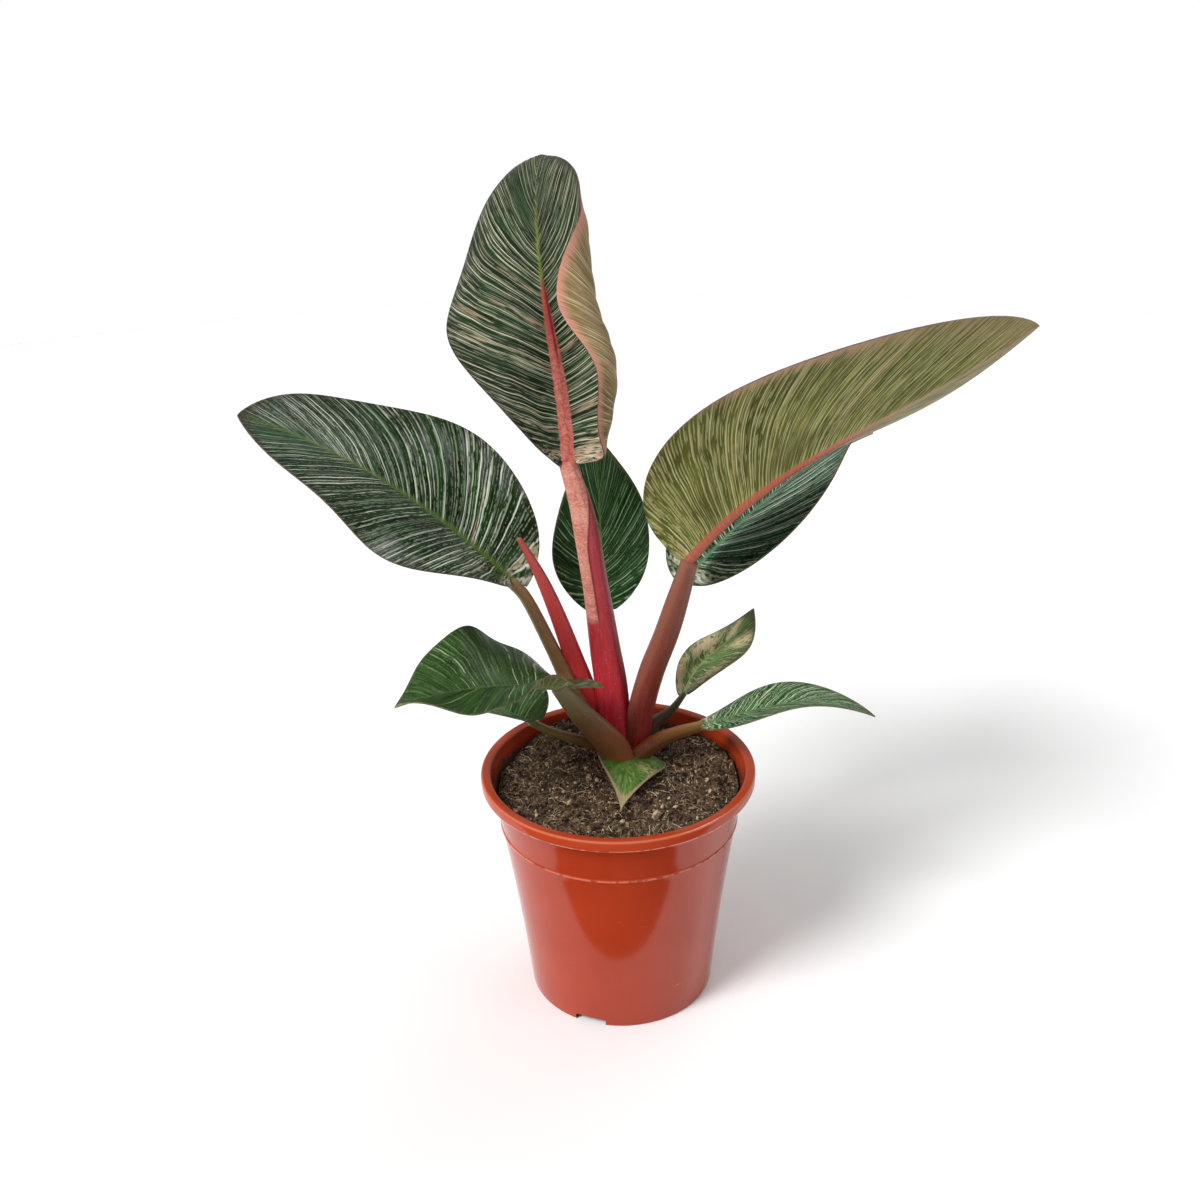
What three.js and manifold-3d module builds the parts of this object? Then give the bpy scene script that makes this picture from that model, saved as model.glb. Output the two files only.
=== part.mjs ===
// Potted variegated philodendron: ten leaves and a new leaf's sheath on a short stem,
// in a plastic nursery pot filled with soil.
// Millimetres, +Z up. The origin is the middle of the pot's base, on the surface it stands on.
// +X is to the right and +Y to the back, seen from the front of the plant.
import * as THREE from 'three';
import { mergeVertices } from 'three/addons/utils/BufferGeometryUtils.js';
import Module from 'manifold-3d';

const wasm = await Module();
wasm.setup();

// Driving dimensions of the pot
const rimRadius = 60;
const potHeight = 109;
const baseRadius = 41.5;
const mouthRadius = 55.7;
const wallSlope = 0.09;
const wallFlare = 0.00042;
const wall = 1.4;
const lipHeight = 5;
const softEdge = 0.8;
const lineBelowRim = 24.5;
const lineProud = 0.6;
const floorHeight = 4;
const centreFoot = { radius: 12, flare: 1.5 };
const potSides = 48;
const wallHeights = [10, 52];
const footNotch = { width: 14, height: 3.5, count: 3, turn: 9 };
const drainHole = { radius: 4, ring: 25, count: 8 };

// Driving dimensions of the soil and the stem that stands in it
const soilLevel = 99.6;
const soilSides = 36;
const soilSink = 0.4;
const crown = { x: 3, y: 25, radius: 9, top: 114, neck: 104, bottom: 62, rootEnd: 4.5, topRadius: 4 };

// Heaps of soil, round the stem and against the wall: place, height and reach
const soilHeaps = [
  [3, 25, 0.4, 26],
  [-26, 41, 7.5, 14],
  [46, 22, 3, 20],
];

// Lumps on the soil: height, turns along X and Y in radians a millimetre, and start
const soilLumps = [
  [0.2, 0.31, 0.27, 1.1],
  [0.2, 0.31, -0.27, 1.1],
  [0.4, 0.17, -0.36, 0.6],
  [0.24, 0.55, 0.48, 0],
];

// Room left between pieces that touch
const gap = 0.3;

// Blades: thickness, and how the veins sweep forward from the rib to the margin
const bladeThickness = 0.8;
const veinSweep = 0.8;
const veinStart = 1.15;
const veinBow = 1.6;
const notchHalf = 3;
const rowSpacing = 1.4;
const ribSlimming = 0.6;
const bigColumns = [0, 0.05, 0.12, 0.28, 0.46, 0.64, 0.82, 1];
const smallColumns = [0, 0.1, 0.28, 0.5, 0.75, 1];

// Stalks have a shallow channel: its depth as a share of the radius, and how narrow it is
const channelDepth = 0.22;
const channelNarrowness = 6;

// Every leaf: foot is where the stalk meets the blade; length runs along the rib; half, lobe,
// fold and curl give the left side first, seen from above with the tip away; heading, rise and
// roll are degrees along the rib from foot to tip (heading 0 is +X, 90 is +Y); fold is how far
// a side rises from the rib, and curl how far it turns on by its margin; rib is its half width
// and its height above and below the blade; wave is height, count and phases of margin waves.
const leaves = {
  tall: {
    foot: [-18, 14.5, 244], length: 148, half: [43, 51], lobe: [2, 1],
    widest: [0.46, 0.33], point: [1.14, 1.25],
    heading: [107, 109, 92, 78], rise: [86, 69, 58, 52, 54, -43], roll: [-4, -9, 2],
    fold: [[10, 0, -16], [12, -5, -8]],
    curl: [[48, -18, -70, -80, -71], [269, 185, 228, 205, 192, -45]], tight: [1, 1.1],
    rib: [3, 1.2, 2.2], rows: 26, columns: bigColumns, color: 0x2c4f30,
    stalk: {
      path: [[-1.5, 24, 104], [-2.2, 22.4, 136], [-4.5, 20.8, 156], [-8.2, 17.5, 190],
        [-13, 15.5, 224], [-17.8, 14.3, 243]],
      radius: [8.2, 7.4, 6.5, 5.5, 5.2, 3.6], face: [0, -1, 0.1], sides: 12, rings: 16, color: 0xa9303c,
    },
  },
  right: {
    foot: [31, -3.5, 206.5], length: 165, half: [43, 45], lobe: [10, 3],
    widest: [0.38, 0.38], point: [0.71, 0.71],
    heading: [-24, -24, 10], rise: [53, 35, 33], roll: [14, 11, 4],
    fold: [[28, 10, -27], [77, 60, 76]], curl: [[-23, -20, -21], [-36, -24, -24]], tight: [1, 1],
    rib: [2.2, 0.5, 1.8], rows: 24, columns: bigColumns, color: 0x39562f,
    stalk: {
      path: [[8, 24, 104], [11, 20, 126], [15.6, 13.3, 148], [22, 6, 170], [30.7, -3.3, 205.5]],
      radius: [6.2, 5.8, 5.5, 5, 3.6], face: [-0.3, 1, 0.3], sides: 10, rings: 15, color: 0x8a3d2f,
    },
  },
  left: {
    foot: [-43.3, 9.5, 194], length: 130.2, half: [44, 46], lobe: [1.5, 7],
    widest: [0.42, 0.42], point: [0.84, 0.84],
    heading: [175, 184, 197], rise: [46, 38, 24], roll: [15, 15, 31],
    fold: [[29, 17, -3], [30, 19, 10]], curl: [[-11, -30, 14], [17, -15, -23]], tight: [1, 1],
    wave: [4, 1.3, 86, 174],
    rib: [2, 0.4, 1.6], rows: 24, columns: bigColumns, color: 0x2b5230,
    stalk: {
      path: [[-3, 20, 106], [-14.4, 18.5, 126], [-27, 14.5, 160], [-38, 11, 187], [-42.8, 9.6, 193.4]],
      radius: [4.8, 4.2, 3.5, 3.1, 2.7], face: [0.6, 0.2, 0.8], sides: 10, rings: 14, color: 0x6d4f2f,
    },
  },
  low_left: {
    foot: [-24, -14, 155.5], length: 69.5, half: [25, 29.5], lobe: [6, 19],
    widest: [0.5, 0.44], point: [0.96, 0.76],
    heading: [184, 196, 172], rise: [7, 3, -25], roll: [-23, 17, -3],
    fold: [[40, 36, 27], [16, 24, 33, 14]], curl: [[-43, -31, 3], [-26, -20, 0, 8]], tight: [1, 1],
    wave: [1.7, 2.7, 27, -72],
    rib: [1.8, 0.3, 1.2], rows: 18, columns: smallColumns, color: 0x355f38,
    stalk: {
      path: [[1.5, 14, 102], [-1.6, 11.3, 112], [-8, 4, 124.6], [-15.5, -5, 138.6],
        [-24, -13, 154.8]],
      radius: [7, 6.7, 5.9, 5, 3.4], face: [0.3, 0.3, 1], sides: 10, rings: 13, color: 0x5f4a2e,
    },
  },
  low_right: {
    foot: [38, 7.5, 124], length: 78, half: [15, 15], lobe: [4, 1],
    widest: [0.42, 0.42], point: [0.94, 0.94],
    heading: [-7, 4, -6], rise: [21, 6, -31], roll: [5, 2, 5],
    fold: [[2, 15, 6], [6, 17, 10]], curl: [[-21, -2, -20], [-29, 3, -15]], tight: [1, 1],
    rib: [1.2, 0.2, 0.9], rows: 16, columns: smallColumns, color: 0x3b6b40,
    stalk: {
      path: [[7, 16, 103.5], [17, 15.5, 111], [26, 13, 117], [37.4, 7.7, 123.6]],
      radius: [5, 3.9, 3.1, 2.3], face: [0, 0, 1], sides: 10, rings: 10, color: 0x94622c,
    },
  },
  small_right: {
    foot: [31.5, 33.5, 126.5], length: 52, half: [14, 16], lobe: [3, 0],
    widest: [0.43, 0.43], point: [0.97, 0.97],
    heading: [27, 35, 39], rise: [68, 21, 52], roll: [6, 2, 8],
    fold: [[11, 7, -4], [15, 9, 2]], curl: [[-5, -15, -23], [-10, -7, -27]], tight: [1, 1],
    rib: [0.9, 0.2, 0.7], rows: 12, columns: smallColumns, color: 0x58803f,
    stalk: {
      path: [[10, 28, 104], [18, 31, 113], [25, 32.3, 118], [31.2, 33.5, 125.8]],
      radius: [4.2, 3.4, 2.1, 1.3], face: [-0.5, 0, 1], sides: 10, rings: 10, color: 0x6a4a30,
    },
  },
  back_right: {
    foot: [33.5, 26, 187.5], length: 115, half: [39, 38], lobe: [6, 4],
    widest: [0.41, 0.41], point: [0.89, 0.89],
    heading: [26, 40, 23], rise: [40, 20, 12], roll: [1, 18, 29],
    fold: [[15, 10, 10], [7, 12, 15]], curl: [[-11, -15, -15], [-15, -14, -13]], tight: [1, 1],
    rib: [1.7, 0.3, 1.4], rows: 20, columns: smallColumns, color: 0x2a5038,
    stalk: {
      path: [[8, 30, 104], [14, 29.5, 126], [22, 28.5, 156], [29, 27.3, 178], [33.1, 26.1, 186.9]],
      radius: [4.2, 3.6, 3.1, 2.8, 2.2], face: [-0.4, -0.2, 1], sides: 10, rings: 12, color: 0x7c4a30,
    },
  },
  back: {
    foot: [-2, 41, 165], length: 80, half: [25, 25], lobe: [4, 0],
    widest: [0.42, 0.42], point: [1.14, 1.14],
    heading: [106.6, 97.6, 85.6], rise: [52, 79, 48], roll: [1, -17, -18],
    fold: [[8, 17, 19], [9, 6, 8]], curl: [[-19, -15, -4], [-16, -20, -15]], tight: [1, 1],
    rib: [1.4, 0.3, 1.1], rows: 18, columns: smallColumns, color: 0x23502c,
    stalk: {
      path: [[-4, 32, 104], [-4.6, 35.5, 127], [-4.2, 38.5, 147], [-2, 40.8, 164.3]],
      radius: [3.8, 3.2, 2.7, 2], face: [0, -1, 0.2], sides: 10, rings: 11, color: 0x7f3b2f,
    },
  },
  low_back: {
    foot: [-38, 8, 127.5], length: 38, half: [10, 21], lobe: [2, 5],
    widest: [0.38, 0.38], point: [0.86, 0.86],
    heading: [152, 150, 146], rise: [9, 5, -8], roll: [4, 7, 21],
    fold: [[35, 25, 10], [36, 22, 14]], curl: [[1, -4, -11], [-27, -28, -18]], tight: [1, 1],
    rib: [1.1, 0.2, 0.8], rows: 12, columns: smallColumns, color: 0x4a7a4c,
    stalk: {
      path: [[-3, 22, 103], [-11, 18, 110], [-20, 14, 115.5], [-30, 11, 121], [-37.6, 8.2, 127]],
      radius: [3.4, 2.8, 2.4, 2.1, 1.8], face: [0, 0, 1], sides: 10, rings: 11, color: 0x94702c,
    },
  },
};

// The small scale leaf low on the front of the stem has no stalk of its own
const scaleLeaf = {
  foot: [6.5, 20, 104.6], length: 47, half: [16, 14], lobe: [1, 1],
  widest: [0.17, 0.17], point: [1.35, 1.35],
  heading: [261, 264, 260], rise: [11, -3, -19], roll: [13, 10, 7],
  fold: [[4, 8, 10], [5, 6, 9]], curl: [[-17, -17, -14], [-16, -18, -14]], tight: [1, 1],
  rib: [1.2, 0.1, 0.6], rows: 12, columns: smallColumns, color: 0x5a8f3c,
};

// The red sheath that holds the next leaf, rolled up
const spear = {
  path: [[-6, 25, 106], [-13, 22.5, 134], [-17.6, 18, 151], [-24.2, 10.5, 177], [-31, 4.5, 199],
    [-38.3, 1, 216]],
  radius: [5, 4.6, 4.2, 3.5, 2.6, 1.1], face: [0.2, -1, 0.1], sides: 10, rings: 15, color: 0xa5303a,
};

// Numbers spaced evenly from foot to tip, joined by a smooth curve
function along(values, t) {
  const last = values.length - 1;
  const x = Math.min(Math.max(t, 0), 1) * last;
  const i = Math.min(Math.floor(x), last - 1);
  const f = x - i;
  const p1 = values[i];
  const p2 = values[i + 1];
  const p0 = i > 0 ? values[i - 1] : 2 * p1 - p2;
  const p3 = i + 2 <= last ? values[i + 2] : 2 * p2 - p1;
  return p1 + 0.5 * f * (p2 - p0 + f * (2 * p0 - 5 * p1 + 4 * p2 - p3 + f * (3 * (p1 - p2) + p3 - p0)));
}

function degreesAlong(values, t) {
  return THREE.MathUtils.degToRad(along(values, t));
}

// The rib's point and directions (forward, right, up) at a distance from the blade's foot
function makeRib(leaf) {
  const steps = 160;
  const directionAt = (t) => {
    const heading = degreesAlong(leaf.heading, t);
    const rise = degreesAlong(leaf.rise, t);
    const level = Math.cos(rise);
    return new THREE.Vector3(level * Math.cos(heading), level * Math.sin(heading), Math.sin(rise));
  };
  const points = [new THREE.Vector3(...leaf.foot)];
  for (let i = 0; i < steps; i += 1) {
    const stride = directionAt((i + 0.5) / steps).multiplyScalar(leaf.length / steps);
    points.push(points[i].clone().add(stride));
  }
  return (distance) => {
    const t = Math.min(Math.max(distance / leaf.length, 0), 1);
    const x = t * steps;
    const i = Math.min(Math.floor(x), steps - 1);
    const forward = directionAt(t);
    const point = points[i].clone().lerp(points[i + 1], x - i);
    point.addScaledVector(forward, Math.min(distance, 0));
    const heading = degreesAlong(leaf.heading, t);
    const right = new THREE.Vector3(Math.sin(heading), -Math.cos(heading), 0);
    right.applyAxisAngle(forward, -degreesAlong(leaf.roll, t));
    const up = new THREE.Vector3().crossVectors(right, forward);
    return { t, point, forward, right, up };
  };
}

// Half width of the flat outline, from 0 at the lobes to 1 at the widest place and 0 at the tip
function outlineWidth(leaf, side, t) {
  const tipPower = leaf.point[side];
  const widest = leaf.widest[side];
  const basePower = tipPower * widest / (1 - widest);
  const peak = widest ** basePower * (1 - widest) ** tipPower;
  return t ** basePower * (1 - t) ** tipPower / peak;
}

// A point of the blade's middle surface: u runs from foot to tip, v from -1 to 1 across
function bladePoint(leaf, rib, u, v) {
  const side = v < 0 ? 0 : 1;
  const a = Math.abs(v);
  const t = u ** veinSweep;
  const marginX = t * (leaf.length + leaf.lobe[side]) - leaf.lobe[side];
  const marginY = leaf.half[side] * outlineWidth(leaf, side, t) + notchHalf * (1 - t) ** 8;
  const startX = leaf.length * u ** veinStart;
  const x = startX + (marginX - startX) * a ** veinBow;
  const y = marginY * a;
  const at = rib(x);
  const fold = degreesAlong(leaf.fold[side], at.t);
  const curl = degreesAlong(leaf.curl[side], at.t);
  const share = y / leaf.half[side];
  const steps = 16;
  let out = 0;
  let lift = 0;
  for (let i = 0; i < steps; i += 1) {
    const angle = fold + curl * (share * (i + 0.5) / steps) ** leaf.tight[side];
    out += Math.cos(angle) * y / steps;
    lift += Math.sin(angle) * y / steps;
  }
  if (leaf.wave) {
    const [height, count, phase, rightPhase] = leaf.wave;
    const turn = THREE.MathUtils.degToRad(phase + side * rightPhase);
    lift += height * share ** 2 * Math.sin(2 * Math.PI * count * x / leaf.length + turn);
  }
  const point = at.point.clone();
  point.addScaledVector(at.right, side ? out : -out);
  point.addScaledVector(at.up, lift);
  return { point, y };
}

// A closed mesh from corner points and the faces between them
function meshGeometry(points, faces) {
  const geometry = new THREE.BufferGeometry();
  const numbers = new Float32Array(points.flatMap((p) => [p.x, p.y, p.z]));
  geometry.setAttribute('position', new THREE.BufferAttribute(numbers, 3));
  geometry.setIndex(faces.flat());
  return geometry;
}

// The blade as a closed thin body: two faces split alike, joined round the margin
function makeBlade(leaf) {
  const rib = makeRib(leaf);
  const columns = [...leaf.columns.slice(1).reverse().map((c) => -c), ...leaf.columns];
  const width = columns.length;
  const rowCount = leaf.rows;
  const grid = [];
  for (let i = 0; i < rowCount; i += 1) {
    const u = (i / rowCount) ** rowSpacing;
    grid.push(columns.map((v) => bladePoint(leaf, rib, u, v)));
  }
  const tip = bladePoint(leaf, rib, 1, 0).point;
  const normalAt = (i, j) => {
    const before = grid[Math.max(i - 1, 0)][j].point;
    const after = i + 1 < rowCount ? grid[i + 1][j].point : tip;
    const leftward = grid[i][Math.max(j - 1, 0)].point;
    const rightward = grid[i][Math.min(j + 1, width - 1)].point;
    const lengthways = after.clone().sub(before);
    const crossways = rightward.clone().sub(leftward);
    return crossways.cross(lengthways).normalize();
  };
  const [ribHalf, ribAbove, ribBelow] = leaf.rib;
  const top = [];
  const bottom = [];
  grid.forEach((row, i) => {
    const taper = 1 - i / rowCount;
    row.forEach((cell, j) => {
      const normal = normalAt(i, j);
      const halfHere = ribHalf * (1 - ribSlimming * (1 - taper));
      const ridge = Math.exp(-((cell.y / halfHere) ** 2)) * taper;
      top.push(cell.point.clone().addScaledVector(normal, bladeThickness / 2 + ribAbove * ridge));
      const below = bladeThickness / 2 + ribBelow * ridge;
      bottom.push(cell.point.clone().addScaledVector(normal, -below));
    });
  });
  const lastNormal = normalAt(rowCount - 1, (width - 1) / 2);
  top.push(tip.clone().addScaledVector(lastNormal, bladeThickness / 2));
  bottom.push(tip.clone().addScaledVector(lastNormal, -bladeThickness / 2));
  const under = top.length;
  const faces = [];
  const addBoth = (a, b, c) => {
    faces.push([a, b, c], [under + a, under + c, under + b]);
  };
  for (let i = 0; i < rowCount; i += 1) {
    for (let j = 0; j < width - 1; j += 1) {
      const a = i * width + j;
      if (i === rowCount - 1) {
        addBoth(a, a + 1, rowCount * width);
      } else if (j < (width - 1) / 2) {
        addBoth(a, a + 1, a + width + 1);
        addBoth(a, a + width + 1, a + width);
      } else {
        addBoth(a, a + 1, a + width);
        addBoth(a + 1, a + width + 1, a + width);
      }
    }
  }
  const edge = [];
  for (let j = 0; j < width; j += 1) {
    edge.push(j);
  }
  for (let i = 1; i < rowCount; i += 1) {
    edge.push(i * width + width - 1);
  }
  edge.push(rowCount * width);
  for (let i = rowCount - 1; i > 0; i -= 1) {
    edge.push(i * width);
  }
  edge.forEach((a, k) => {
    const b = edge[(k + 1) % edge.length];
    faces.push([a, under + a, b], [b, under + a, under + b]);
  });
  return meshGeometry([...top, ...bottom], faces);
}

// A stalk lofted along its path, with a shallow channel on the side that faces the plant
function makeStalk(stalk, grow = 0) {
  const curve = new THREE.CatmullRomCurve3(stalk.path.map((p) => new THREE.Vector3(...p)));
  const face = new THREE.Vector3(...stalk.face);
  const points = [];
  const faces = [];
  const { sides, rings } = stalk;
  for (let i = 0; i <= rings; i += 1) {
    const t = i / rings;
    const centre = curve.getPointAt(t);
    const forward = curve.getTangentAt(t);
    const beyond = (i === rings) - (i === 0);
    centre.addScaledVector(forward, beyond * grow);
    const right = new THREE.Vector3().crossVectors(forward, face).normalize();
    const up = new THREE.Vector3().crossVectors(right, forward);
    const radius = along(stalk.radius, t);
    for (let k = 0; k < sides; k += 1) {
      const turn = 2 * Math.PI * k / sides;
      const channel = channelDepth * Math.max(0, Math.sin(turn)) ** channelNarrowness;
      const reach = radius * (1 - channel) + grow;
      const corner = centre.clone().addScaledVector(right, reach * Math.cos(turn));
      points.push(corner.addScaledVector(up, reach * Math.sin(turn)));
    }
  }
  for (let i = 0; i < rings; i += 1) {
    for (let k = 0; k < sides; k += 1) {
      const a = i * sides + k;
      const b = i * sides + (k + 1) % sides;
      faces.push([a, b + sides, b], [a, a + sides, b + sides]);
    }
  }
  const foot = points.length;
  points.push(curve.getPointAt(0).addScaledVector(curve.getTangentAt(0), -grow));
  points.push(curve.getPointAt(1).addScaledVector(curve.getTangentAt(1), grow));
  for (let k = 0; k < sides; k += 1) {
    const next = (k + 1) % sides;
    faces.push([foot, k, next], [foot + 1, rings * sides + next, rings * sides + k]);
  }
  return meshGeometry(points, faces);
}

// The short thick stem, mostly in the soil
function makeStem(grow = 0) {
  const { radius, bottom, neck, top, rootEnd, topRadius } = crown;
  const outline = [
    [0, bottom - grow],
    [rootEnd + grow, bottom - grow],
    [(rootEnd + radius) / 2 + grow, (bottom + soilLevel) / 2],
    [radius + grow, soilLevel],
    [radius + softEdge + grow, neck],
    [radius - 2 * softEdge + grow, (neck + 2 * top) / 3],
    [topRadius + grow, top + grow],
    [0, top + grow],
  ];
  return turned(outline, 16).translate(crown.x, crown.y, 0);
}

// A body turned about the Z axis from an outline of [radius, height] pairs
function turned(outline, segments) {
  const profile = outline.map(([radius, height]) => new THREE.Vector2(radius, height));
  return new THREE.LatheGeometry(profile, segments).rotateX(Math.PI / 2);
}

// The pot's wall flares a little as it rises
function outerRadius(z) {
  return baseRadius + wallSlope * z + wallFlare * z ** 2;
}

function innerRadius(z) {
  return outerRadius(z) - wall;
}

// The pot: lip, thin moulded line, flared wall, notched foot ring, and a floor raised on it
// with drain holes and a flat foot in the middle
function makePot() {
  const lipFoot = potHeight - lipHeight;
  const line = potHeight - lineBelowRim;
  const footRing = 1.8;
  const outline = [
    [0, 0],
    [centreFoot.radius, 0],
    [centreFoot.radius + centreFoot.flare, floorHeight - wall],
    [baseRadius - footRing - wall, floorHeight - wall],
    [baseRadius - footRing, 0],
    [baseRadius - softEdge, 0],
    [baseRadius, softEdge],
    ...wallHeights.map((z) => [outerRadius(z), z]),
    [outerRadius(line - 1), line - 1],
    [outerRadius(line) + lineProud, line - 0.3],
    [outerRadius(line) + lineProud, line + 0.3],
    [outerRadius(line + 1), line + 1],
    [outerRadius(lipFoot), lipFoot],
    [rimRadius - softEdge, lipFoot],
    [rimRadius, lipFoot + softEdge],
    [rimRadius, potHeight - softEdge],
    [rimRadius - softEdge, potHeight],
    [mouthRadius, potHeight],
    [mouthRadius - softEdge, potHeight - softEdge],
    [innerRadius(line), line],
    ...wallHeights.map((z) => [innerRadius(z), z]).reverse(),
    [innerRadius(floorHeight), floorHeight],
    [0, floorHeight],
  ];
  let pot = toSolid(turned(outline, potSides));
  for (let i = 0; i < footNotch.count; i += 1) {
    const turn = THREE.MathUtils.degToRad(footNotch.turn) + i * 2 * Math.PI / footNotch.count;
    const block = new THREE.BoxGeometry(12, footNotch.width, 2 * footNotch.height);
    block.translate(baseRadius, 0, 0).rotateZ(turn);
    pot = pot.subtract(toSolid(block));
  }
  for (let i = 0; i < drainHole.count; i += 1) {
    const turn = i * 2 * Math.PI / drainHole.count;
    const drill = new THREE.CylinderGeometry(drainHole.radius, drainHole.radius, 10, 12);
    drill.rotateX(Math.PI / 2);
    drill.translate(drainHole.ring * Math.cos(turn), drainHole.ring * Math.sin(turn), floorHeight);
    pot = pot.subtract(toSolid(drill));
  }
  return pot;
}

// Height of the soil's lumpy top, highest in its heaps
function soilTop(x, y) {
  let height = soilLevel;
  soilHeaps.forEach(([heapX, heapY, heap, reach]) => {
    height += heap * Math.exp(-((Math.hypot(x - heapX, y - heapY) / reach) ** 2));
  });
  soilLumps.forEach(([lump, alongX, alongY, start]) => {
    height += lump * Math.sin(alongX * x + alongY * y + start);
  });
  return height;
}

// The soil fills the pot from its floor to a little under the rim
function makeSoil() {
  const shares = [0.14, 0.28, 0.42, 0.56, 0.7, 0.84, 1];
  const lowHeights = [...wallHeights].reverse().concat(floorHeight + gap);
  const edgeRadius = innerRadius(soilLevel) - gap - soilSink;
  const points = [];
  const faces = [];
  const addRing = (radius, heightAt) => {
    const start = points.length;
    for (let k = 0; k < soilSides; k += 1) {
      const turn = 2 * Math.PI * k / soilSides;
      const x = radius * Math.cos(turn);
      const y = radius * Math.sin(turn);
      points.push(new THREE.Vector3(x, y, heightAt(x, y)));
    }
    return start;
  };
  const next = (k) => (k + 1) % soilSides;
  points.push(new THREE.Vector3(0, 0, soilTop(0, 0)));
  const rings = shares.map((share) => addRing(share * edgeRadius, soilTop));
  lowHeights.forEach((z) => rings.push(addRing(innerRadius(z) - gap - soilSink, () => z)));
  points.push(new THREE.Vector3(0, 0, floorHeight + gap));
  const middle = points.length - 1;
  for (let k = 0; k < soilSides; k += 1) {
    faces.push([0, rings[0] + k, rings[0] + next(k)]);
    rings.slice(1).forEach((lower, i) => {
      const upper = rings[i];
      faces.push([upper + k, lower + k, upper + next(k)]);
      faces.push([upper + next(k), lower + k, lower + next(k)]);
    });
    const bottom = rings[rings.length - 1];
    faces.push([middle, bottom + next(k), bottom + k]);
  }
  return meshGeometry(points, faces);
}

// Joining and cutting
function toSolid(geometry) {
  const bare = geometry.clone();
  bare.deleteAttribute('normal');
  bare.deleteAttribute('uv');
  const merged = mergeVertices(bare, 1e-4);
  const triangles = [];
  const index = merged.index.array;
  for (let i = 0; i < index.length; i += 3) {
    const [a, b, c] = [index[i], index[i + 1], index[i + 2]];
    if (a !== b && b !== c && c !== a) {
      triangles.push(a, b, c);
    }
  }
  return new wasm.Manifold(new wasm.Mesh({
    numProp: 3,
    vertProperties: merged.attributes.position.array,
    triVerts: new Uint32Array(triangles),
  }));
}

// A cut can leave loose scraps; the piece is the biggest of what is left
function biggest(solid) {
  return solid.decompose().reduce((best, part) => (part.volume() > best.volume() ? part : best));
}

function toMesh(name, solid, color, roughness) {
  const result = solid.getMesh();
  const geometry = new THREE.BufferGeometry();
  geometry.setAttribute('position', new THREE.BufferAttribute(result.vertProperties, 3));
  geometry.setIndex(new THREE.BufferAttribute(result.triVerts, 1));
  geometry.computeVertexNormals();
  const material = new THREE.MeshStandardMaterial({ color, roughness, metalness: 0 });
  const mesh = new THREE.Mesh(geometry, material);
  mesh.name = name;
  return mesh;
}

// The plant: each stalk gives way to those set before it, and each blade to every stalk
const plant = new THREE.Group();
plant.add(toMesh('stem', toSolid(makeStem()), 0x6e3b2c, 0.6));
let room = toSolid(makeStem(gap));

function addStalk(name, stalk) {
  const solid = biggest(toSolid(makeStalk(stalk)).subtract(room));
  room = room.add(toSolid(makeStalk(stalk, gap)));
  plant.add(toMesh(name, solid, stalk.color, 0.45));
}

function addBlade(name, leaf) {
  const solid = biggest(toSolid(makeBlade(leaf)).subtract(room));
  plant.add(toMesh(name, solid, leaf.color, 0.4));
}

const thickStalks = ['tall', 'right', 'low_left'];
const thinStalks = Object.keys(leaves).filter((name) => !thickStalks.includes(name));
thickStalks.forEach((name) => addStalk(`stalk_${name}`, leaves[name].stalk));
addStalk('new_leaf_sheath', spear);
thinStalks.forEach((name) => addStalk(`stalk_${name}`, leaves[name].stalk));
Object.keys(leaves).forEach((name) => addBlade(`blade_${name}`, leaves[name]));
addBlade('scale_leaf', scaleLeaf);

plant.add(toMesh('soil', biggest(toSolid(makeSoil()).subtract(room)), 0x3a2c22, 0.95));
plant.add(toMesh('pot', makePot(), 0xa3431f, 0.35));

export default plant;
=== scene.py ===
import math
import bpy
import numpy as np
from mathutils import Matrix, Vector


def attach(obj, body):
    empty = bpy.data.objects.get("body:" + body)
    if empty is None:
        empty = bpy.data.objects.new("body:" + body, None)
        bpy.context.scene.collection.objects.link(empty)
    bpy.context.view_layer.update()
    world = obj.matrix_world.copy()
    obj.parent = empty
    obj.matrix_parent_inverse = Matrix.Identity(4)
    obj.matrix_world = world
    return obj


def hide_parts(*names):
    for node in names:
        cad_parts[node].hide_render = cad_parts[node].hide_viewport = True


# Potted variegated philodendron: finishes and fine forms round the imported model.
# Sizes are millimetres until a mesh is placed; mm turns them to metres.
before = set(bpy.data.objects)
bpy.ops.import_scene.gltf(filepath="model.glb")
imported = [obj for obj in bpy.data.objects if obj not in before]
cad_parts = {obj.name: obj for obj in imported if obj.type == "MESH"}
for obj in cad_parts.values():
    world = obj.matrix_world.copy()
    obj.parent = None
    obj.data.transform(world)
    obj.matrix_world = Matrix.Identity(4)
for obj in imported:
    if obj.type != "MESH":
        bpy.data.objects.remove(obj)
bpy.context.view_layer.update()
mm = 0.001
bpy.ops.object.select_all(action="DESELECT")
chance = np.random.default_rng(11)
print("frame loaded", len(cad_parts), "nodes")


# Shader sums

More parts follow.
